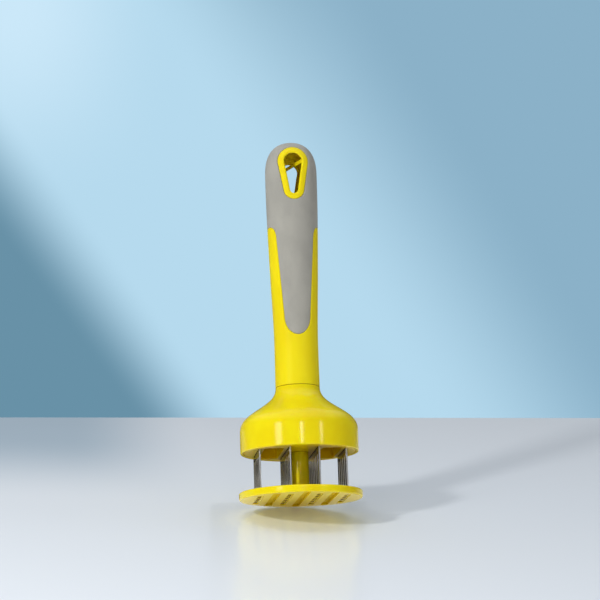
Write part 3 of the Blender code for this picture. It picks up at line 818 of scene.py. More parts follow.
@dataclass
class HandleForm:
    """Outer form of the handle, which its hard core and its soft grip share."""

    foot: float
    top: float
    neck: float = 0.0135
    palm_half_width: float = 0.0161
    palm_half_depth: float = 0.0156
    dome_height: float = 0.0210
    squareness: float = 2.5
    hole_head: float = 0.0058
    hole_foot: float = 0.00265
    hole_length: float = 0.01835
    hole_margin: float = 0.0091
    ring_width: float = 0.0039
    tongue_end_share: float = 0.197
    tongue_round_share: float = 0.272
    panel_shoulder_share: float = 0.578
    panel_top_share: float = 0.645
    tongue_low_share: float = 0.50
    tongue_high_share: float = 0.711
    panel_bend_shares: tuple[Point2, Point2] = ((0.03, 0.58), (0.30, 0.94))
    swell_shares: tuple[Point2, ...] = (
        (0.00, 0.00), (0.15, -0.03), (0.23, 0.02), (0.33, 0.22), (0.42, 0.43),
        (0.52, 0.62), (0.62, 0.80), (0.72, 0.94), (0.82, 1.00), (1.00, 1.00),
    )
    dome_spread: float = 1.25
    tongue_steps: int = 24
    shoulder_steps: int = 20
    columns: int = 136
    body_rows: int = 128
    dome_rows: int = 34
    outline: np.ndarray = field(init=False)

    def __post_init__(self) -> None:
        """Work out the grip's outline once."""
        self.outline = np.array(self.grip_outline())

    @property
    def length(self) -> float:
        """Length of the handle above its seam."""
        return self.top - self.foot

    def swell(self, share: float) -> float:
        """Read how far the handle has swollen at a share of its length."""
        table = self.swell_shares
        index = next((i for i in range(len(table) - 1) if share <= table[i + 1][0]), len(table) - 2)
        (start, low), (end, high) = table[index], table[index + 1]
        before, after = table[max(index - 1, 0)], table[min(index + 2, len(table) - 1)]
        span = end - start
        slope_low = (high - before[1]) / (end - before[0])
        slope_high = (after[1] - low) / (after[0] - start)
        t = (share - start) / span
        return (
            low * (2 * t ** 3 - 3 * t * t + 1) + high * (3 * t * t - 2 * t ** 3)
            + span * slope_low * (t ** 3 - 2 * t * t + t) + span * slope_high * (t ** 3 - t * t)
        )

    def rows(self) -> list[tuple[float, float, float]]:
        """List height, half width and half depth of each ring, the last one a pole."""
        dome_foot = self.top - self.dome_height
        rise = dome_foot - self.foot
        stations = [(self.foot + rise * step / self.body_rows, 1.0) for step in range(self.body_rows)]
        power = 2 / self.squareness
        for step in range(self.dome_rows + 1):
            turn = math.pi / 2 * (1 - (1 - step / self.dome_rows) ** self.dome_spread)
            rise = math.sin(turn) ** power
            closing = max(0.0, math.cos(turn)) ** power if step < self.dome_rows else 0.0
            stations.append((dome_foot + self.dome_height * rise, closing))
        found = []
        for height, closing in stations:
            grown = self.swell((height - self.foot) / self.length)
            half_x = self.neck + (self.palm_half_width - self.neck) * grown
            half_y = self.neck + (self.palm_half_depth - self.neck) * grown
            found.append((height, half_x * closing, half_y * closing))
        return found

    def surface(self) -> bmesh.types.BMesh:
        """Skin the whole handle, open at its foot."""
        shape = bmesh.new()
        rings = []
        for height, half_x, half_y in self.rows():
            if half_x < POLE:
                rings.append([shape.verts.new((0, 0, height))] * self.columns)
                continue
            turns = [2 * math.pi * step / self.columns for step in range(self.columns)]
            rings.append([
                shape.verts.new((half_x * math.cos(turn), half_y * math.sin(turn), height)) for turn in turns
            ])
        for ring, above in zip(rings, rings[1:]):
            for step in range(self.columns):
                after = (step + 1) % self.columns
                shape.faces.new(dict.fromkeys((ring[step], ring[after], above[after], above[step])))
        shape.normal_update()
        return shape

    def grip_outline(self) -> list[Point2]:
        """List the soft grip's outline seen from the front: cap above, tongue below."""
        def height(share: float) -> float:
            """Turn a share of the length into a height."""
            return self.foot + self.length * share
        half = self.palm_half_width
        low, high = half * self.tongue_low_share, half * self.tongue_high_share
        round_at = height(self.tongue_round_share)
        drop = round_at - height(self.tongue_end_share)
        shoulder = (high, height(self.panel_shoulder_share))
        edge = (half, height(self.panel_top_share))
        bend = [
            (shoulder[0] + (edge[0] - shoulder[0]) * out, shoulder[1] + (edge[1] - shoulder[1]) * up)
            for out, up in self.panel_bend_shares
        ]
        right = [
            (low * math.sin(turn), round_at - drop * math.cos(turn))
            for turn in (math.pi / 2 * step / self.tongue_steps for step in range(1, self.tongue_steps + 1))
        ]
        right += [shoulder] + bezier((shoulder, *bend, edge), self.shoulder_steps)
        right += [(half * 2, edge[1]), (half * 2, self.top + half)]
        return [(0, round_at - drop)] + right + [(-x, z) for x, z in reversed(right)]

    def grip_field(self, points: np.ndarray) -> np.ndarray:
        """Measure distances from the grip's outline, positive under the grip."""
        return distance_to_line(points[:, [0, 2]], self.outline)

    def hole_field(self, points: np.ndarray) -> np.ndarray:
        """Measure distances from the hang hole's teardrop, positive outside it."""
        x = np.abs(points[:, 0])
        down = self.top - self.hole_margin - self.hole_head - points[:, 2]
        lean = (self.hole_head - self.hole_foot) / self.hole_length
        upright = math.sqrt(1 - lean * lean)
        along = -lean * x + upright * down
        head = np.hypot(x, down) - self.hole_head
        foot = np.hypot(x, down - self.hole_length) - self.hole_foot
        side = upright * x + lean * down - self.hole_head
        return np.where(along < 0, head, np.where(along > upright * self.hole_length, foot, side))

    def core_edge(self, points: np.ndarray) -> np.ndarray:
        """Measure distances from the grip's outline, positive on the bare core."""
        return -self.grip_field(points)

    def ring_edge(self, points: np.ndarray) -> np.ndarray:
        """Measure distances from the ring's outer edge, positive on the ring."""
        return self.ring_width - self.hole_field(points)

    def bare_core_edge(self, points: np.ndarray) -> np.ndarray:
        """Measure as core_edge does, with the points under the grip ruled out."""
        return np.where(self.grip_field(points) > TINY, -1.0, self.core_edge(points))

    def bare_ring_edge(self, points: np.ndarray) -> np.ndarray:
        """Measure as ring_edge does, with the points outside the ring ruled out."""
        return np.where(self.hole_field(points) > self.ring_width + TINY, -1.0, self.ring_edge(points))


def edge_levels(radius: float, steps: int = 3) -> list[float]:
    """List how far from an edge the lines of its rounding lie, the edge itself last."""
    turns = [math.pi / 2 * step / steps for step in range(steps + 1)]
    return [radius * (1 - math.sin(turn)) for turn in turns]


def edge_drop(distance: np.ndarray, radius: float) -> np.ndarray:
    """Give how deep a rounded edge lies under the surface at each distance from it."""
    run = np.clip(radius - distance, 0, radius)
    return np.where(distance > radius, 0.0, radius - np.sqrt(np.maximum(radius * radius - run * run, 0)))


@dataclass
class Handle:
    """Two-shot handle: a hard core and the soft grip moulded over it."""

    form: HandleForm
    hard: bpy.types.Material
    soft: bpy.types.Material
    parting: float = 0.00008
    lip: float = 0.00045
    ring_lip: float = 0.0007
    hole_lip: float = 0.0011
    grip_thickness: float = 0.0019
    recess_depth: float = 0.0020
    spigot_radius: float = 0.0111
    spigot_length: float = 0.0143
    bore_radius: float = 0.0082
    bore_top: float = 0.1096
    slope_step: float = 1e-5
    least_lean: float = 0.2
    hole_steps: int = 5
    spigot_overrun: float = 0.004

    def lean(self, level_of: FieldOf, points: np.ndarray, normals: np.ndarray) -> np.ndarray:
        """Turn distances seen from the front into distances along the surface.

        Args:
            level_of: The field that measures them.
            points: Where they are measured.
            normals: The surface's normals there.

        Returns:
            The distances along the surface.
        """
        step = self.slope_step
        slope_x = (level_of(points + (step, 0, 0)) - level_of(points - (step, 0, 0))) / (2 * step)
        slope_z = (level_of(points + (0, 0, step)) - level_of(points - (0, 0, step))) / (2 * step)
        length = np.maximum(np.hypot(slope_x, slope_z), TINY)
        along = (slope_x * normals[:, 0] + slope_z * normals[:, 2]) / length
        return level_of(points) / np.maximum(np.sqrt(np.maximum(1 - along * along, 0)), self.least_lean)

    def drop_edges(self, shape: bmesh.types.BMesh, edges: Sequence[tuple[FieldOf, float]]) -> None:
        """Sink the vertices near each edge, so that it is rounded.

        Args:
            shape: The surface, imprinted along the edges.
            edges: A field that is positive on the kept side of each edge, and the edge's radius.
        """
        shape.normal_update()
        vertices = list(shape.verts)
        points = np.array([vertex.co for vertex in vertices])
        normals = np.array([vertex.normal for vertex in vertices])
        drop = np.zeros(len(vertices))
        for level_of, radius in edges:
            distance = self.lean(level_of, points, normals)
            drop = np.maximum(drop, np.where(distance > -self.slope_step, edge_drop(distance, radius), 0))
        for vertex, depth, normal in zip(vertices, drop, normals):
            if depth > 0:
                vertex.co -= Vector(normal) * float(depth)

    def build_core(self) -> bpy.types.Object:
        """Hard core with its side panels and its ring; build cuts the bore that holds the spring."""
        form = self.form
        shape = form.surface()
        levels = (
            (form.core_edge, edge_levels(self.lip)), (form.ring_edge, edge_levels(self.ring_lip)),
            (form.hole_field, edge_levels(self.hole_lip, self.hole_steps)),
        )
        for level_of, found in levels:
            for level in found:
                imprint(shape, level_of, level)
        shape.normal_update()
        shape.faces.ensure_lookup_table()
        centres = np.array([face.calc_center_median() for face in shape.faces])
        in_hole = form.hole_field(centres) < 0
        under = (form.grip_field(centres) > 0) & (form.hole_field(centres) > form.ring_width)
        normals = {vertex: vertex.normal.copy() for vertex in shape.verts}
        recess = [face for face, sunk in zip(shape.faces, under) if sunk]
        hole = [face for face, gone in zip(shape.faces, in_hole) if gone]
        self.drop_edges(shape, (
            (form.bare_core_edge, self.lip), (form.bare_ring_edge, self.ring_lip), (form.hole_field, self.hole_lip),
        ))
        bmesh.ops.delete(shape, geom=hole, context="FACES")
        rims = [edge for edge in shape.edges if edge.is_boundary and edge.verts[0].co.z > form.foot + form.neck]
        bmesh.ops.bridge_loops(shape, edges=rims)
        sunk = self.sink(shape, recess, normals)
        LOG.info("recess under the grip: %d faces", sunk)
        foot = [edge for edge in shape.edges if edge.is_boundary]
        bmesh.ops.contextual_create(shape, geom=foot)
        return solid("handle_core_dressed", shape)

    def sink(self, shape: bmesh.types.BMesh, recess: list[bmesh.types.BMFace], normals: dict) -> int:
        """Sink the faces under the grip and wall the recess.

        Args:
            shape: The core's surface.
            recess: The faces under the grip.
            normals: The normal of each vertex of the plain surface.

        Returns:
            How many faces were sunk.
        """
        chosen = set(recess)
        twins: dict = {}
        for face in recess:
            for vertex in face.verts:
                if vertex not in twins:
                    twins[vertex] = shape.verts.new(vertex.co - normals[vertex] * self.recess_depth)
        for face in recess:
            for loop in face.loops:
                if any(other not in chosen for other in loop.edge.link_faces):
                    start, end = loop.vert, loop.link_loop_next.vert
                    shape.faces.new((start, end, twins[end], twins[start]))
        floors = [[twins[vertex] for vertex in face.verts] for face in recess]
        bmesh.ops.delete(shape, geom=recess, context="FACES")
        for floor in floors:
            shape.faces.new(floor)
        return len(floors)

    def grip_edge(self, points: np.ndarray) -> np.ndarray:
        """Measure distances from the grip's own edge, positive on the grip."""
        return self.form.grip_field(points) - self.parting

    def grip_ring_edge(self, points: np.ndarray) -> np.ndarray:
        """Measure distances from the grip's edge round the ring, positive on the grip."""
        return self.form.hole_field(points) - self.form.ring_width - self.parting

    def build_grip(self) -> bpy.types.Object:
        """Soft cap and tongues, a shell with rounded lips."""
        shape = self.form.surface()
        for level_of in (self.grip_edge, self.grip_ring_edge):
            for level in edge_levels(self.lip):
                imprint(shape, level_of, level)
        shape.normal_update()
        shape.faces.ensure_lookup_table()
        centres = np.array([face.calc_center_median() for face in shape.faces])
        kept = (self.grip_edge(centres) > 0) & (self.grip_ring_edge(centres) > 0)
        inner = {vertex: vertex.co - vertex.normal * self.grip_thickness for vertex in shape.verts}
        self.drop_edges(shape, ((self.grip_edge, self.lip), (self.grip_ring_edge, self.lip)))
        chosen = {face for face, stays in zip(shape.faces, kept) if stays}
        bmesh.ops.delete(shape, geom=[face for face in shape.faces if face not in chosen], context="FACES")
        twins = {vertex: shape.verts.new(inner[vertex]) for vertex in list(shape.verts) if vertex in inner}
        for face in list(shape.faces):
            shape.faces.new([twins[vertex] for vertex in reversed(face.verts)])
            for loop in face.loops:
                if loop.edge.is_boundary:
                    start, end = loop.vert, loop.link_loop_next.vert
                    shape.faces.new((end, start, twins[start], twins[end]))
        return solid("soft_grip_dressed", shape)

    def build(self) -> None:
        """Make and hang both pieces."""
        core = self.build_core()
        foot, step = self.form.foot, self.form.foot + self.spigot_length
        profile = (
            (self.spigot_radius, foot - self.spigot_overrun), (self.spigot_radius, step),
            (self.bore_radius, step), (self.bore_radius, self.bore_top),
        )
        carve(core, lathe("bore", profile, 96))
        settle(soften(core), self.hard, Slot.YELLOW_SATIN, Body.HANDLE, "handle_core")
        settle(soften(self.build_grip()), self.soft, Slot.GRIP_GREY, Body.HANDLE, "soft_grip")


@dataclass(frozen=True)
class Row:
    """Where one needle comb stands, and how many needles it has."""

    place: float
    count: int
    width: float = 0.0046
    pitch: float = 0.0080

    @property
    def reach(self) -> float:
        """Half the comb's length."""
        return ((self.count - 1) * self.pitch + self.width) / 2


@dataclass
class FlaredHead:
    """Glossy flared shell, the holder that closes it, and what is screwed to the holder."""

    gloss: bpy.types.Material
    # The inner finish is a deeper, more orange copy of the gloss plastic: painted shade on the holder and the
    # retainer.
    inner: bpy.types.Material
    plating: bpy.types.Material
    rim: float
    seam: float
    holder_top: float
    comb_rows: list[Row]
    radius: float = 0.0358
    wall: float = 0.0020
    band_height: float = 0.0130
    shoulder_height: float = 0.0114
    shoulder_radius: float = 0.0280
    neck_radius: float = 0.0135
    deck: float = 0.0022
    rim_round: float = 0.0007
    seam_round: float = 0.00030
    shoulder_fullness_share: float = 0.48
    shoulder_lean_shares: Point2 = (0.58, 0.73)
    flare_lean_shares: Point2 = (0.52, 0.33)
    flare_rise_share: float = 0.55
    spigot_radius: float = 0.0108
    spigot_length: float = 0.0140
    bore_radius: float = 0.0082
    fit_gap: float = 0.0003
    guide_radius: float = 0.0077
    guide_bore: float = 0.00565
    guide_length: float = 0.0225
    comb_half_slot: float = 0.0008
    comb_wall: float = 0.0020
    comb_shoulder: float = 0.0010
    comb_head: float = 0.0023
    pocket_ceiling: float = 0.0020
    pocket_rim_wall: float = 0.0019
    pocket_corner: float = 0.0022
    floor: float = 0.0025
    pin_mark_place: Point2 = (-0.0296, -0.0095)
    pin_mark_radius: float = 0.0005
    pin_mark_depth: float = 0.0004
    screw_radius: float = 0.0013
    screw_length: float = 0.0060
    screw_head_radius: float = 0.0024
    screw_head_height: float = 0.0017
    boss_wall: float = 0.0014
    screw_inset: float = 0.0115
    crisp_round: float = 0.0003
    edge_round: float = 0.00018
    curve_steps: int = 26
    overrun: float = 0.004

    @property
    def holder_radius(self) -> float:
        """Radius of the holder inside the shell."""
        return self.radius - self.wall - self.fit_gap

    def outer_curve(self) -> list[Point2]:
        """List the shell's outer profile from the top of its band to the seam."""
        band_top = self.rim + self.band_height
        shoulder_top = band_top + self.shoulder_height
        width = self.radius - self.shoulder_radius
        out, up = self.shoulder_lean_shares
        shoulder = (
            (self.radius, band_top),
            (self.radius, band_top + self.shoulder_height * self.shoulder_fullness_share),
            (self.shoulder_radius + width * out, band_top + self.shoulder_height * up),
            (self.shoulder_radius, shoulder_top),
        )
        run = self.shoulder_radius - self.neck_radius
        rise = self.seam - shoulder_top
        out, up = self.flare_lean_shares
        flare = (
            (self.shoulder_radius, shoulder_top),
            (self.shoulder_radius - run * out, shoulder_top + rise * up),
            (self.neck_radius, shoulder_top + rise * self.flare_rise_share),
            (self.neck_radius, self.seam),
        )
        return [shoulder[0]] + bezier(shoulder, self.curve_steps) + bezier(flare, self.curve_steps)

    def build_shell(self) -> None:
        """Hollow shell with a soft rim and a spigot that plugs into the handle."""
        outer = self.outer_curve()
        inner = []
        for index, point in enumerate(outer):
            before, after = Vector(outer[max(index - 1, 0)]), Vector(outer[min(index + 1, len(outer) - 1)])
            along = (after - before).normalized()
            inner.append((point[0] - self.wall * along.y, point[1] + self.wall * along.x))
        deck = self.seam - self.deck
        inner = [point for point in inner if point[1] < deck - self.wall / 2]
        inside = self.radius - self.wall
        spigot_top = self.seam + self.spigot_length
        corners = [(inside, self.rim, self.crisp_round), (self.radius, self.rim, self.rim_round)]
        corners += [(*point, 0.0) for point in outer[:-1]]
        corners += [
            (self.neck_radius, self.seam, self.seam_round), (self.spigot_radius, self.seam, 0.0),
            (self.spigot_radius, spigot_top, 0.0005), (self.bore_radius, spigot_top, self.crisp_round),
            (self.bore_radius, deck, 0.0), (inner[-1][0], deck, 0.0),
        ]
        corners += [(*point, 0.0) for point in reversed(inner)]
        shell = lathe("bell_head_dressed", filleted(corners, 5), 192, closed=True)
        settle(soften(shell), self.gloss, Slot.YELLOW_GLOSS, Body.HANDLE, "bell_head")

    def build_holder(self) -> None:
        """Holder with its comb slots, deep pockets, guide tube, bosses and ejector marks."""
        rim, top, overrun = self.rim, self.holder_top, self.overrun
        body = filleted([
            (0, rim, 0), (self.holder_radius, rim, self.crisp_round),
            (self.holder_radius, top, self.crisp_round), (0, top, 0),
        ], closed=False)
        holder = lathe("blade_holder_dressed", body, 144)
        tube = ((self.guide_radius, (rim + top) / 2), (self.guide_radius, top + self.guide_length))
        carve(holder, lathe("guide_tube", tube, 64), "UNION")
        spacing = self.comb_rows[1].place - self.comb_rows[0].place
        half_slot = self.comb_half_slot
        head_low = top - self.comb_head
        for row in self.comb_rows:
            place, half_length = row.place, row.reach + self.fit_gap
            slot = rounded_box(half_slot, half_length, half_slot / 3, (place, 0), 2)
            carve(holder, prism("comb_slot", slot, rim - overrun, top + overrun))
            seat = rounded_box(half_slot, half_length + self.comb_shoulder, half_slot / 3, (place, 0), 2)
            carve(holder, prism("comb_seat", seat, head_low, top + overrun))
        pocket_half = spacing / 2 - half_slot - self.comb_wall
        reach = math.sqrt((self.holder_radius - self.pocket_rim_wall) ** 2 - (spacing + pocket_half) ** 2)
        for place in (-spacing, spacing):
            pocket = rounded_box(pocket_half, reach, self.pocket_corner, (place, 0))
            carve(holder, prism("pocket", pocket, rim - overrun, top - self.pocket_ceiling))
        wall_x = self.comb_rows[-1].place + half_slot + self.comb_wall
        inner = self.holder_radius - self.comb_wall
        spread = math.degrees(math.acos(wall_x / inner))
        for side in (-1, 1):
            outline = [(side * x, y) for x, y in arc((0, 0), inner, -spread, spread, 24)]
            hollow = prism("hollow", outline, rim + self.floor, top + overrun)
            boss = prism("boss", arc((side * self.screw_out, 0), self.screw_radius + self.boss_wall, 0, 350, 35),
                         rim, top + overrun)
            carve(holder, carve(hollow, boss))
        for x, y in self.screw_places:
            pilot = arc((x, y), self.screw_radius + self.fit_gap, 0, 345, 23)
            carve(holder, prism("pilot", pilot, top - self.screw_length, top + overrun))
        bore = ((self.guide_bore, rim - overrun), (self.guide_bore, top + self.guide_length + overrun))
        carve(holder, lathe("guide_bore", bore, 64))
        x, y = self.pin_mark_place
        for turn in (1, -1):
            mark = arc((turn * x, turn * y), self.pin_mark_radius, 0, 330, 11)
            carve(holder, prism("pin_mark", mark, rim - overrun, rim + self.pin_mark_depth))
        settle(soften(holder, self.edge_round), self.inner, Slot.YELLOW_GLOSS, Body.HANDLE, "blade_holder")

    @property
    def screw_out(self) -> float:
        """How far out the two screws beside the outer combs stand."""
        return (self.comb_rows[-1].place + self.comb_half_slot + self.holder_radius) / 2

    @property
    def screw_places(self) -> tuple[Point2, ...]:
        """Places of the four screws."""
        along = self.holder_radius - self.screw_inset
        return (self.screw_out, 0), (0, along), (-self.screw_out, 0), (0, -along)

    def build_screws(self, seat: float) -> None:
        """Put the four screws on the retainer, as one piece grown from one screw."""
        screw = pan_screw("screw_pattern", self.screw_radius, self.screw_length,
                          self.screw_head_radius, self.screw_head_height)
        growth = Growth("holder_screws")
        shape = growth.copy_of("Screw", screw)
        places = growth.size("Half spans", (self.screw_out, self.screw_places[1][1], 1.0), "Vector")
        height = growth.size("Seat height", seat)
        circle = growth.add("GeometryNodeMeshCircle", sockets={"Vertices": 4, "Radius": 1.0})
        spots = growth.moved(circle, growth.vector(Z=height), Scale=places)
        screws = growth.grow(growth.on_points(spots, shape), self.plating)
        bpy.data.objects.remove(screw, do_unlink=True)
        nodes = [f"holder_screw_{number}" for number in (1, 2, 3, 4)]
        settle(soften(screws), self.plating, Slot.FASTENER_STEEL, Body.HANDLE, *nodes)

    def build(self) -> None:
        """Make and hang the head's pieces."""
        self.build_shell()
        self.build_holder()
        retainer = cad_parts["blade_retainer"]
        retainer.data.materials.clear()
        retainer.data.materials.append(self.inner)
        self.build_screws(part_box("blade_retainer")[1].z + self.fit_gap)


def pan_screw(name: str, radius: float, length: float, head_radius: float, head_height: float) -> bpy.types.Object:
    """Model a pan-head screw with a cross recess, its head seated at height zero."""
    profile = filleted([
        (0, -length, 0), (radius * 0.45, -length, 0.0), (radius, -length + radius * 0.8, 0.0), (radius, 0, 0.0),
        (head_radius, 0, 0.00015), (head_radius, head_height, head_height * 0.7), (0, head_height, 0),
    ], 6, closed=False)
    screw = lathe(name, profile, 40)
    arm, blade = head_radius * 0.5, head_radius * 0.14
    for half_x, half_y in ((arm, blade), (blade, arm)):
        cross = rounded_box(half_x, half_y, blade / 2, steps=3)
        carve(screw, prism("recess", cross, head_height / 2, head_height * 2))
    return screw


@dataclass
class NeedleCombs:
    """Four stamped strips, each a row of pointed needles under a solid bar."""

    steel: bpy.types.Material
    top: float
    rows: list[Row]
    width: float = Row.width
    gap: float = Row.pitch - Row.width
    half_thickness: float = 0.0005
    half_edge: float = 0.00015
    tip: float = 0.0010
    tip_length: float = 0.0034
    gap_top: float = 0.0245
    shoulder: float = 0.0010
    head: float = 0.0020
    arc_steps: int = 10
    edge_round: float = 0.00009
    weld: float = 0.00002

    @property
    def pitch(self) -> float:
        """Distance from needle to needle."""
        return self.width + self.gap

    def build_cell(self) -> bpy.types.Object:
        """One round-topped gap between two half needles, open where cells join."""
        half, pitch = self.width / 2, self.pitch
        low = self.tip + self.tip_length
        middle = (pitch / 2, self.gap_top - self.gap / 2)
        gap = [(half, low)] + arc(middle, self.gap / 2, 180, 0, self.arc_steps) + [(pitch - half, low)]
        outline = [(0, self.top), (0, low)] + gap + [(pitch, low), (pitch, self.top)]
        return self.strip("needle_cell", outline, gap, ((0, half), (pitch, pitch - half)))

    def build_end(self, side: int) -> bpy.types.Object:
        """Outer half of an end needle, with the shoulder that hangs in the holder."""
        half = self.width / 2
        low = self.tip + self.tip_length
        edge = [
            (side * half, low), (side * half, self.top - self.head),
            (side * (half + self.shoulder), self.top - self.head), (side * (half + self.shoulder), self.top),
        ]
        outline = [(0, self.top), (0, low)] + edge
        return self.strip("needle_end", outline, edge, ((0, side * half),))

    def strip(self, name: str, outline: list[Point2], walls: list[Point2],
              tips: Iterable[Point2]) -> bpy.types.Object:
        """Make a flat length of comb.

        Args:
            name: The object's name.
            outline: Outline of its two faces, as y, z.
            walls: The stretch of the outline that is walled.
            tips: Middle and outer side of each half needle.

        Returns:
            The open length of comb.
        """
        shape = bmesh.new()
        found: dict[tuple[float, Point2], bmesh.types.BMVert] = {}

        def corner(x: float, point: Point2) -> bmesh.types.BMVert:
            """Give the vertex at a place, made once."""
            key = (x, point)
            if key not in found:
                found[key] = shape.verts.new((x, *point))
            return found[key]
        thick, low = self.half_thickness, self.tip + self.tip_length
        for side in (-thick, thick):
            shape.faces.new([corner(side, point) for point in outline])
        runs = list(zip(walls, walls[1:]))
        tops = sorted(point for point in outline if point[1] == self.top)
        runs.append((tops[-1], tops[0]))
        for start, end in runs:
            shape.faces.new([corner(-thick, start), corner(-thick, end), corner(thick, end), corner(thick, start)])
        for centre, outer in tips:
            point = (centre, self.tip)
            for side, edge in ((-thick, -self.half_edge), (thick, self.half_edge)):
                shape.faces.new([corner(side, (centre, low)), corner(side, (outer, low)), corner(edge, point)])
            shape.faces.new([
                corner(-thick, (outer, low)), corner(thick, (outer, low)),
                corner(self.half_edge, point), corner(-self.half_edge, point),
            ])
        return solid(name, shape)

    def build(self) -> None:
        """Grow each comb from one cell, weld it and hang it."""
        cell, left, right = self.build_cell(), self.build_end(-1), self.build_end(1)
        for number, line_up in enumerate(self.rows, start=1):
            growth = Growth(f"needle_comb_{number}_dressed")
            gaps = growth.size("Gaps", line_up.count - 1, "Int")
            pitch = growth.size("Pitch", self.pitch)
            across = growth.size("Place across", line_up.place)
            named = (("Cell", cell), ("Left", left), ("Right", right))
            middle, first, last = (growth.copy_of(name, item) for name, item in named)
            line = growth.add("GeometryNodeMeshLine", sockets={"Count": gaps, "Offset": growth.vector(Y=pitch)})
            last = growth.moved(last, growth.vector(Y=pitch * gaps))
            joined = growth.join((growth.on_points(line, middle), first, last))
            placed = growth.moved(joined, growth.vector(X=across, Y=pitch * gaps * -0.5))
            real = growth.add("GeometryNodeRealizeInstances", sockets={0: placed})
            welded = growth.add("GeometryNodeMergeByDistance", sockets={"Geometry": real, "Distance": self.weld})
            comb = growth.grow(welded, self.steel)
            face_out(comb)
            comb = soften(comb, self.edge_round)
            settle(comb, self.steel, Slot.NEEDLE_STEEL, Body.HANDLE, f"needle_comb_{number}")
        for item in (cell, left, right):
            bpy.data.objects.remove(item, do_unlink=True)


def face_out(item: bpy.types.Object) -> None:
    """Turn all faces of a closed mesh outwards."""
    shape = bmesh.new()
    shape.from_mesh(item.data)
    bmesh.ops.recalc_face_normals(shape, faces=shape.faces)
    shape.to_mesh(item.data)
    shape.free()


@dataclass
class GuardPlate:
    """Slotted plate on its post, with the washer and screw that stop it."""

    gloss: bpy.types.Material
    plating: bpy.types.Material
    comb_rows: list[Row]
    post_top: float
    radius: float = 0.0372
    thickness: float = 0.0044
    edge_round: float = 0.0009
    post_radius: float = 0.0053
    post_fillet: float = 0.0012
    channel_half: float = 0.0018
    channel_depth: float = 0.0005
    groove_half: float = 0.00225
    groove_depth: float = 0.0016
    groove_margin: float = 0.0016
    slot_half_x: float = 0.0011
    slot_half_y: float = 0.00265
    slot_corner: float = 0.0003
    channel_corner: float = 0.0005
    groove_corner: float = 0.0008
    cut_round: float = 0.00014
    fillet_sink: float = 0.97
    hole_depth: float = 0.0105
    washer_radius: float = 0.0077
    washer_rounds: Point2 = (0.0001, 0.0002)
    screw_radius: float = 0.0018
    screw_length: float = 0.0120
    screw_head_radius: float = 0.0038
    screw_head_height: float = 0.0024
    fit_gap: float = 0.0003
    overrun: float = 0.004

    def slot_cutters(self) -> bpy.types.Object:
        """Grow the cutter of all slots, one under each needle."""
        outline = rounded_box(self.slot_half_x, self.slot_half_y, self.slot_corner, steps=3)
        cutter = prism("slot_pattern", outline, -self.overrun, self.thickness + self.overrun)
        growth = Growth("slot_cutters")
        shape = growth.copy_of("Slot", cutter)
        along = growth.size("Needle pitch", Row.pitch)
        grids = []
        for name, pair in (("Outer", self.comb_rows[::3]), ("Inner", self.comb_rows[1:3])):
            needles = growth.size(f"{name} needles", pair[0].count, "Int")
            across = growth.size(f"{name} spacing", pair[1].place - pair[0].place)
            grids.append(growth.add("GeometryNodeMeshGrid", sockets={
                "Size X": across, "Size Y": along * (needles - 1), "Vertices X": 2, "Vertices Y": needles,
            }))
        made = growth.grow(growth.on_points(growth.join(grids), shape), self.gloss)
        bpy.data.objects.remove(cutter, do_unlink=True)
        return made

    def build_plate(self) -> None:
        """Round plate with soft edges, recessed rows, grooves and slots, and its post."""
        edge, thick = self.edge_round, self.thickness
        corners = [(0, 0, 0), (self.radius, 0, edge), (self.radius, thick, edge), (0, thick, 0)]
        disc = filleted(corners, 6, closed=False)
        plate = lathe("press_plate_dressed", disc, 192)
        centre = (self.post_radius + self.post_fillet, thick + self.post_fillet * self.fillet_sink)
        fillet = arc(centre, self.post_fillet, 270, 180, 6)
        post = [(0, thick / 2), (fillet[0][0], thick / 2)] + fillet
        post += [(self.post_radius, self.post_top), (0, self.post_top)]
        carve(plate, lathe("post", post, 64), "UNION")
        border = self.slot_half_y - Row.width / 2 + self.channel_half - self.slot_half_x
        for row in self.comb_rows:
            channel = rounded_box(self.channel_half, row.reach + border, self.channel_corner, (row.place, 0))
            carve(plate, prism("channel", channel, -self.overrun, self.channel_depth))
        for first, second in zip(self.comb_rows, self.comb_rows[1:]):
            place = (first.place + second.place) / 2
            reach = math.sqrt((self.radius - self.groove_margin) ** 2 - (abs(place) + self.groove_half) ** 2)
            groove = rounded_box(self.groove_half, reach, self.groove_corner, (place, 0))
            carve(plate, prism("groove", groove, -self.overrun, self.groove_depth))
        carve(plate, self.slot_cutters())
        bore = self.screw_radius + self.fit_gap
        hole = ((bore, self.post_top - self.hole_depth), (bore, self.post_top + self.overrun))
        carve(plate, lathe("screw_hole", hole, 40))
        settle(soften(plate, self.cut_round), self.gloss, Slot.YELLOW_GLOSS, Body.GUARD, "press_plate")

    def build_stop(self) -> None:
        """Washer and screw on top of the post."""
        low, high = (corner.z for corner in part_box("stop_washer"))
        outer, inner = self.washer_radius, self.screw_radius + self.fit_gap
        fine, soft = self.washer_rounds
        ring = filleted([(inner, low, fine), (outer, low, soft), (outer, high, soft), (inner, high, fine)], 3)
        washer = lathe("stop_washer_dressed", ring, 96, closed=True)
        settle(soften(washer), self.plating, Slot.FASTENER_STEEL, Body.GUARD, "stop_washer")
        screw = pan_screw("stop_screw_dressed", self.screw_radius, self.screw_length,
                          self.screw_head_radius, self.screw_head_height)
        screw.data.transform(Matrix.Translation((0, 0, high + self.fit_gap)))
        settle(soften(screw), self.plating, Slot.FASTENER_STEEL, Body.GUARD, "stop_screw")

    def build(self) -> None:
        """Make and hang the guard's pieces."""
        self.build_plate()
        self.build_stop()


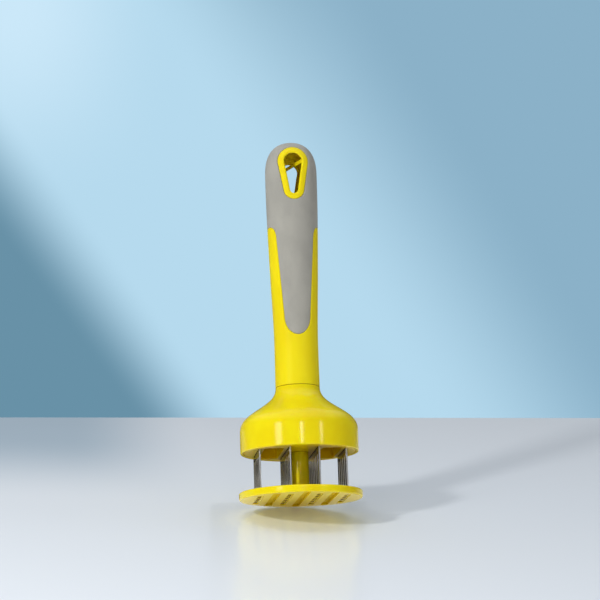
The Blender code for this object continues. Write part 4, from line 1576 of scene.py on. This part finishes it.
@dataclass
class ReturnSpring:
    """Coil spring with a closed turn at each end, which shortens as the plate is pressed."""

    plating: bpy.types.Material
    low: float
    high: float
    radius: float = 0.00645
    wire: float = 0.0011
    turns: int = 11
    end_gap: float = 0.0005
    steps: int = 40
    pressed_share: float = 0.598

    def build(self) -> None:
        """Grow the coil along a line and hang it."""
        growth = Growth("return_spring_dressed")
        turns = growth.size("Turns", float(self.turns))
        radius = growth.size("Coil radius", self.radius)
        wire = growth.size("Wire radius", self.wire / 2)
        length = growth.size("Rise", self.high - self.low - self.wire)
        end_rise = growth.size("End rise", self.wire + self.end_gap)
        start = growth.size("Start height", self.low + self.wire / 2)
        count = self.turns * self.steps + 1
        line = growth.add("GeometryNodeCurvePrimitiveLine")
        curve = growth.add("GeometryNodeResampleCurve", sockets={"Curve": line, "Count": count})
        turn = growth.add("GeometryNodeInputIndex") * turns / float(count - 1)
        body = end_rise + (length - 2 * end_rise) * (turn - 1) / (turns - 2)
        last = length - end_rise * (turns - turn)
        rise = growth.math_of("MINIMUM", growth.math_of("MAXIMUM", body, end_rise), length - end_rise)
        first = growth.math_of("MINIMUM", end_rise * turn, end_rise)
        tail = growth.math_of("MAXIMUM", last, length - end_rise) - (length - end_rise)
        height = rise - end_rise + first + tail + start
        angle = turn * (2 * math.pi)
        across, along = (radius * growth.math_of(name, angle) for name in ("COSINE", "SINE"))
        place = growth.vector(X=across, Y=along, Z=height)
        coil = growth.add("GeometryNodeSetPosition", sockets={"Geometry": curve, "Position": place})
        profile = growth.add("GeometryNodeCurvePrimitiveCircle", sockets={"Resolution": 14, "Radius": wire})
        sockets = {"Curve": coil, "Profile Curve": profile, "Fill Caps": True}
        tube = growth.add("GeometryNodeCurveToMesh", sockets=sockets)
        spring = growth.grow(tube, self.plating)
        face_out(spring)
        settle(soften(spring), self.plating, Slot.FASTENER_STEEL, Body.HANDLE, "return_spring")
        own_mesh(spring)


def toward(azimuth: float, elevation: float) -> Vector:
    """Point from the object to a side; azimuth 0 is in front and 90 to the right."""
    side, rise = math.radians(azimuth), math.radians(elevation)
    return Vector((math.sin(side) * math.cos(rise), -math.cos(side) * math.cos(rise), math.sin(rise)))


@dataclass(frozen=True)
class Lamp:
    """Soft rectangular light that faces the object, turned in its own plane, with its power in watts."""

    name: str
    azimuth: float
    elevation: float
    distance: float
    width: float
    height: float
    power: float
    turn: float = 0.0
    mirrored: bool = True

    def stand(self, middle: Vector) -> None:
        """Put the light up, facing the object's middle."""
        data = bpy.data.lights.new(self.name, "AREA")
        data.shape = "RECTANGLE"
        data.size, data.size_y, data.energy = self.width, self.height, self.power
        item = linked(self.name, data)
        back = toward(self.azimuth, self.elevation)
        item.location = middle + back * self.distance
        facing = back.to_track_quat("Z", "Y").to_matrix().to_4x4()
        item.rotation_euler = (facing @ Matrix.Rotation(math.radians(self.turn), 4, "Z")).to_euler()
        item.visible_glossy = self.mirrored


LAMPS = (
    Lamp("key", -42, 18, 1.4, 0.12, 0.12, 8.2, mirrored=False),
    Lamp("top", -30, 62, 1.4, 0.40, 0.40, 1.8, mirrored=False),
    Lamp("left patch", -46, 10, 1.3, 0.26, 0.25, 1.3),
    Lamp("right patch", 36, 10, 1.3, 0.05, 0.16, 0.45, turn=25),
    Lamp("front", -1.0, 9, 1.4, 0.12, 0.07, 0.5, turn=35),
    Lamp("ahead low", 1.0, -5, 1.2, 0.14, 0.30, 1.0, mirrored=False),
    Lamp("side", 82, 15, 1.3, 0.30, 0.40, 0.9, mirrored=False),
)


@dataclass
class Studio:
    """Pale floor, blue backdrop, soft lights and the camera."""

    touch: tuple[float, float, float] = (0.0, 0.0372, 0.0)
    floor_tilt: float = 19.5
    floor_side_tilt: float = 2.0
    floor_turn: float = 7.138
    floor_behind: float = 0.3222
    floor_ahead: float = 1.6
    floor_half: float = 2.2
    floor_gloss: float = 0.22
    warm_lift: float = 0.14
    cool_lift: float = 0.08
    wall_height: float = 1.2
    beam_slant: float = 0.793
    beam_place: float = 0.1675
    flag_half: float = 0.050
    flag_behind: float = 0.014
    flag_height: float = 0.14
    flag_level: float = 0.08
    streak_level: float = 0.30
    streak_scale: float = 60.0
    room_level: float = 0.12
    ceiling_level: float = 0.70
    target: tuple[float, float, float] = (0.0, 0.0, 0.110)
    azimuth: float = -6.75
    elevation: float = -12.54
    roll: float = -1.816
    distance: float = 1.1391
    lens: float = 111.323
    clip: Point2 = (0.05, 20.0)
    target_pixel: Point2 = (295.454, 320.706)
    picture: float = 600.0

    def on_floor(self, x: float, along: float, rise: float) -> Vector:
        """Place a point by its run along the floor and its rise above it."""
        level = Matrix.Rotation(math.radians(self.floor_turn), 3, "Z") @ Vector((x, along, rise))
        leaning = Matrix.Rotation(math.radians(self.floor_tilt), 3, "X") @ level
        return Vector(self.touch) + Matrix.Rotation(math.radians(self.floor_side_tilt), 3, "Y") @ leaning

    def sheet(self, name: str, path: Sequence[Point2], material: bpy.types.Material) -> bpy.types.Object:
        """Sweep a path of (along, rise) points sideways and stage it."""
        shape = bmesh.new()
        sides = (-self.floor_half, self.floor_half)
        rows = [[shape.verts.new(self.on_floor(x, *point)) for x in sides] for point in path]
        for row, after in zip(rows, rows[1:]):
            shape.faces.new((row[0], row[1], after[1], after[0]))
        return self.staged(name, shape, material, smooth=True)

    def staged(self, name: str, shape: bmesh.types.BMesh, material: bpy.types.Material,
               smooth: bool = False) -> bpy.types.Object:
        """Turn a bmesh into a dressed piece of the stage."""
        item = solid(name, shape, recalculate=False)
        item.data.materials.append(material)
        if smooth:
            item.data.shade_smooth()
        return item

    def glowing(self, recipe: Graph, colour: object, strength: object = 1.0) -> Signal:
        """Give a shader that glows in one colour."""
        return recipe.add("ShaderNodeEmission", sockets={"Color": colour, "Strength": strength})

    def added(self, recipe: Graph, first: Signal, second: Signal) -> Signal:
        """Add two shaders."""
        return recipe.add("ShaderNodeAddShader", sockets={0: first, 1: second})

    def floor_material(self) -> bpy.types.Material:
        """Pale glossy table top whose underside the camera sees through; its back left is painted darker and bluer as
        painted shade, and it glows warm to all but camera rays as painted bounce light.
        """
        recipe = Recipe("table_top")
        haze = recipe.noise(0.35, 1.0)
        x, y, _ = recipe.axes()
        # Painted shade: the back left of the table is darker and bluer.
        painted_back_left_shade = (1 - x.between(-0.14, -0.04)) * y.between(0.04, 0.24)
        pale = recipe.mix(haze, opaque(linear(238, 243, 249)), opaque(linear(243, 246, 249)))
        base = recipe.mix(painted_back_left_shade, pale, opaque(linear(178, 195, 208)))
        sockets = {"Base Color": base, "Roughness": self.floor_gloss, "IOR": 1.45}
        top = recipe.add("ShaderNodeBsdfPrincipled", sockets=sockets)
        # Painted bounce light: the table glows warm to all but camera rays, which lights the undersides from below.
        lifted = self.added(recipe, top, self.glowing(recipe, opaque(linear(255, 238, 200)), self.warm_lift))
        pictured = self.added(recipe, top, self.glowing(recipe, opaque((0.45, 0.75, 1.0)), self.cool_lift))
        seen = recipe.add("ShaderNodeLightPath", output="Is Camera Ray")
        return self.one_sided(recipe, recipe.add("ShaderNodeMixShader", sockets={0: seen, 1: lifted, 2: pictured}))

    def one_sided(self, recipe: Recipe, front: Signal) -> bpy.types.Material:
        """Close a stage material that is clear from behind."""
        back = recipe.add("ShaderNodeNewGeometry", output="Backfacing")
        clear = recipe.add("ShaderNodeBsdfTransparent")
        both = recipe.add("ShaderNodeMixShader", sockets={0: back, 1: front, 2: clear})
        recipe.add("ShaderNodeOutputMaterial", sockets={"Surface": both})
        return recipe.material

    def wall_material(self) -> bpy.types.Material:
        """Blue backdrop with a soft beam across it from the upper left, seen by camera rays only."""
        recipe = Recipe("backdrop")
        x, _, z = recipe.axes()
        across = x + z * self.beam_slant - self.beam_place
        beam = across.between(-0.17, -0.09) * (1 - across.between(0.07, 0.27))
        corner = z.between(0.26, 0.40) * (1 - x.between(-0.18, -0.06))
        dark = recipe.mix(x.between(-0.10, 0.08), opaque(linear(104, 145, 167)), opaque(linear(139, 177, 200)))
        light = recipe.mix(corner, opaque(linear(182, 218, 238)), opaque(linear(203, 232, 249)))
        return self.one_sided(recipe, self.glowing(recipe, recipe.mix(beam, dark, light)))

    def build_stage(self) -> None:
        """Lay the floor and stand the backdrop behind it."""
        floor = [(-self.floor_ahead, 0.0), (self.floor_behind, 0.0)]
        self.sheet("table", floor, self.floor_material())
        upright = [(self.floor_behind, 0.0), (self.floor_behind, self.wall_height)]
        hide_from(self.sheet("backdrop", upright, self.wall_material()), "diffuse", "glossy", "shadow")

    def build_world(self) -> None:
        """Light the room softly, more from above; the camera sees a pale blue."""
        world = bpy.data.worlds.new("room")
        bpy.context.scene.world = world
        world.use_nodes = True
        world.node_tree.nodes.clear()
        graph = Graph(world.node_tree)
        direction = graph.add("ShaderNodeTexCoord", output="Generated")
        split = graph.add("ShaderNodeSeparateXYZ", sockets={0: direction})
        above = split.of(2).between(0.45, 0.85)
        level = self.room_level + above * self.ceiling_level
        path = graph.add("ShaderNodeLightPath", output="Is Camera Ray")
        lit = graph.add("ShaderNodeBackground", sockets={"Color": opaque(linear(248, 250, 255)), "Strength": level})
        seen = graph.add("ShaderNodeBackground", sockets={"Color": opaque(linear(196, 222, 238)), "Strength": 1.0})
        both = graph.add("ShaderNodeMixShader", sockets={0: path, 1: lit, 2: seen})
        graph.add("ShaderNodeOutputWorld", sockets={"Surface": both})

    def build_flag(self) -> None:
        """Stand a dark glowing card close behind, seen only in the gloss of the steel, the undersides and the floor:
        a painted reflection, with brighter painted streaks.
        """
        recipe = Recipe("flag")
        sockets = {"Vector": recipe.place, "Scale": self.streak_scale, "Detail": 1.0}
        streaks = recipe.add("ShaderNodeTexNoise", sockets=sockets)
        # Painted reflection: the card glows dimly, and brighter along its streaks.
        level = self.flag_level + streaks.between(0.50, 0.66) * self.streak_level
        self.one_sided(recipe, self.glowing(recipe, opaque(linear(226, 222, 210)), level))
        shape = bmesh.new()
        half, high = self.flag_half, self.flag_height
        corners = ((-half, 0.0), (half, 0.0), (half, high), (-half, high))
        shape.faces.new([shape.verts.new(self.on_floor(x, self.flag_behind, rise)) for x, rise in corners])
        flag = self.staged("flag", shape, recipe.material)
        hide_from(flag, "camera", "diffuse", "shadow", "transmission")

    def build_lights(self) -> None:
        """Put up all lamps."""
        for lamp in LAMPS:
            lamp.stand(Vector(self.target) * 0.5)

    def build_camera(self) -> None:
        """Aim the camera as the photograph was taken, the object a little off its middle."""
        roll = math.radians(self.roll)
        back = toward(self.azimuth, self.elevation)
        right = Vector((0, 0, 1)).cross(back).normalized()
        up = back.cross(right)
        right, up = right * math.cos(roll) + up * math.sin(roll), up * math.cos(roll) - right * math.sin(roll)
        data = bpy.data.cameras.new("camera")
        data.lens, (data.clip_start, data.clip_end) = self.lens, self.clip
        item = linked("camera", data)
        item.location = Vector(self.target) + back * self.distance
        focal = self.lens / data.sensor_width * self.picture
        off_x = (self.picture / 2 - self.target_pixel[0]) / focal
        off_y = (self.target_pixel[1] - self.picture / 2) / focal
        back = (back - right * off_x - up * off_y).normalized()
        right = (right - back * right.dot(back)).normalized()
        up = back.cross(right)
        item.rotation_euler = Matrix((right, up, back)).transposed().to_euler()
        bpy.context.scene.camera = item

    def build(self) -> None:
        """Set the stage, the lights and the camera."""
        bpy.context.scene.view_settings.view_transform = "Standard"
        self.build_stage()
        self.build_flag()
        self.build_world()
        self.build_lights()
        self.build_camera()


def main() -> None:
    """Build every sub-assembly, then the studio."""
    logging.basicConfig(level=logging.INFO, format="%(name)s: %(message)s")
    gloss, plating, steel = GlossMoulding().build(), PlatedSteel().build(), BladeSteel().build()
    guard = PlateMoulding().build()
    # Holder and retainer plastic: a deeper, more orange copy of the gloss colours, painted shade for parts seen
    # mostly in shade.
    inner = GlossMoulding("inner_moulding_painted_shade", linear(246, 218, 10), linear(240, 204, 7)).build()
    combs = [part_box(f"needle_comb_{number}") for number in range(1, len(NEEDLES) + 1)]
    rows = [Row((low.x + high.x) / 2, count) for (low, high), count in zip(combs, NEEDLES)]
    comb_top = combs[0][1].z
    foot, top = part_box("handle_core")[0].z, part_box("soft_grip")[1].z
    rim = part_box("bell_head")[0].z
    Handle(HandleForm(foot, top), SatinMoulding().build(), SoftTouch().build()).build()
    FlaredHead(gloss, inner, plating, rim, foot - SEAM_GAP, comb_top, rows).build()
    NeedleCombs(steel, comb_top, rows).build()
    GuardPlate(guard, plating, rows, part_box("press_plate")[1].z).build()
    spring_low, spring_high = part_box("return_spring")
    ReturnSpring(plating, spring_low.z, spring_high.z).build()
    Studio().build()


if __name__ == "__main__":
    main()
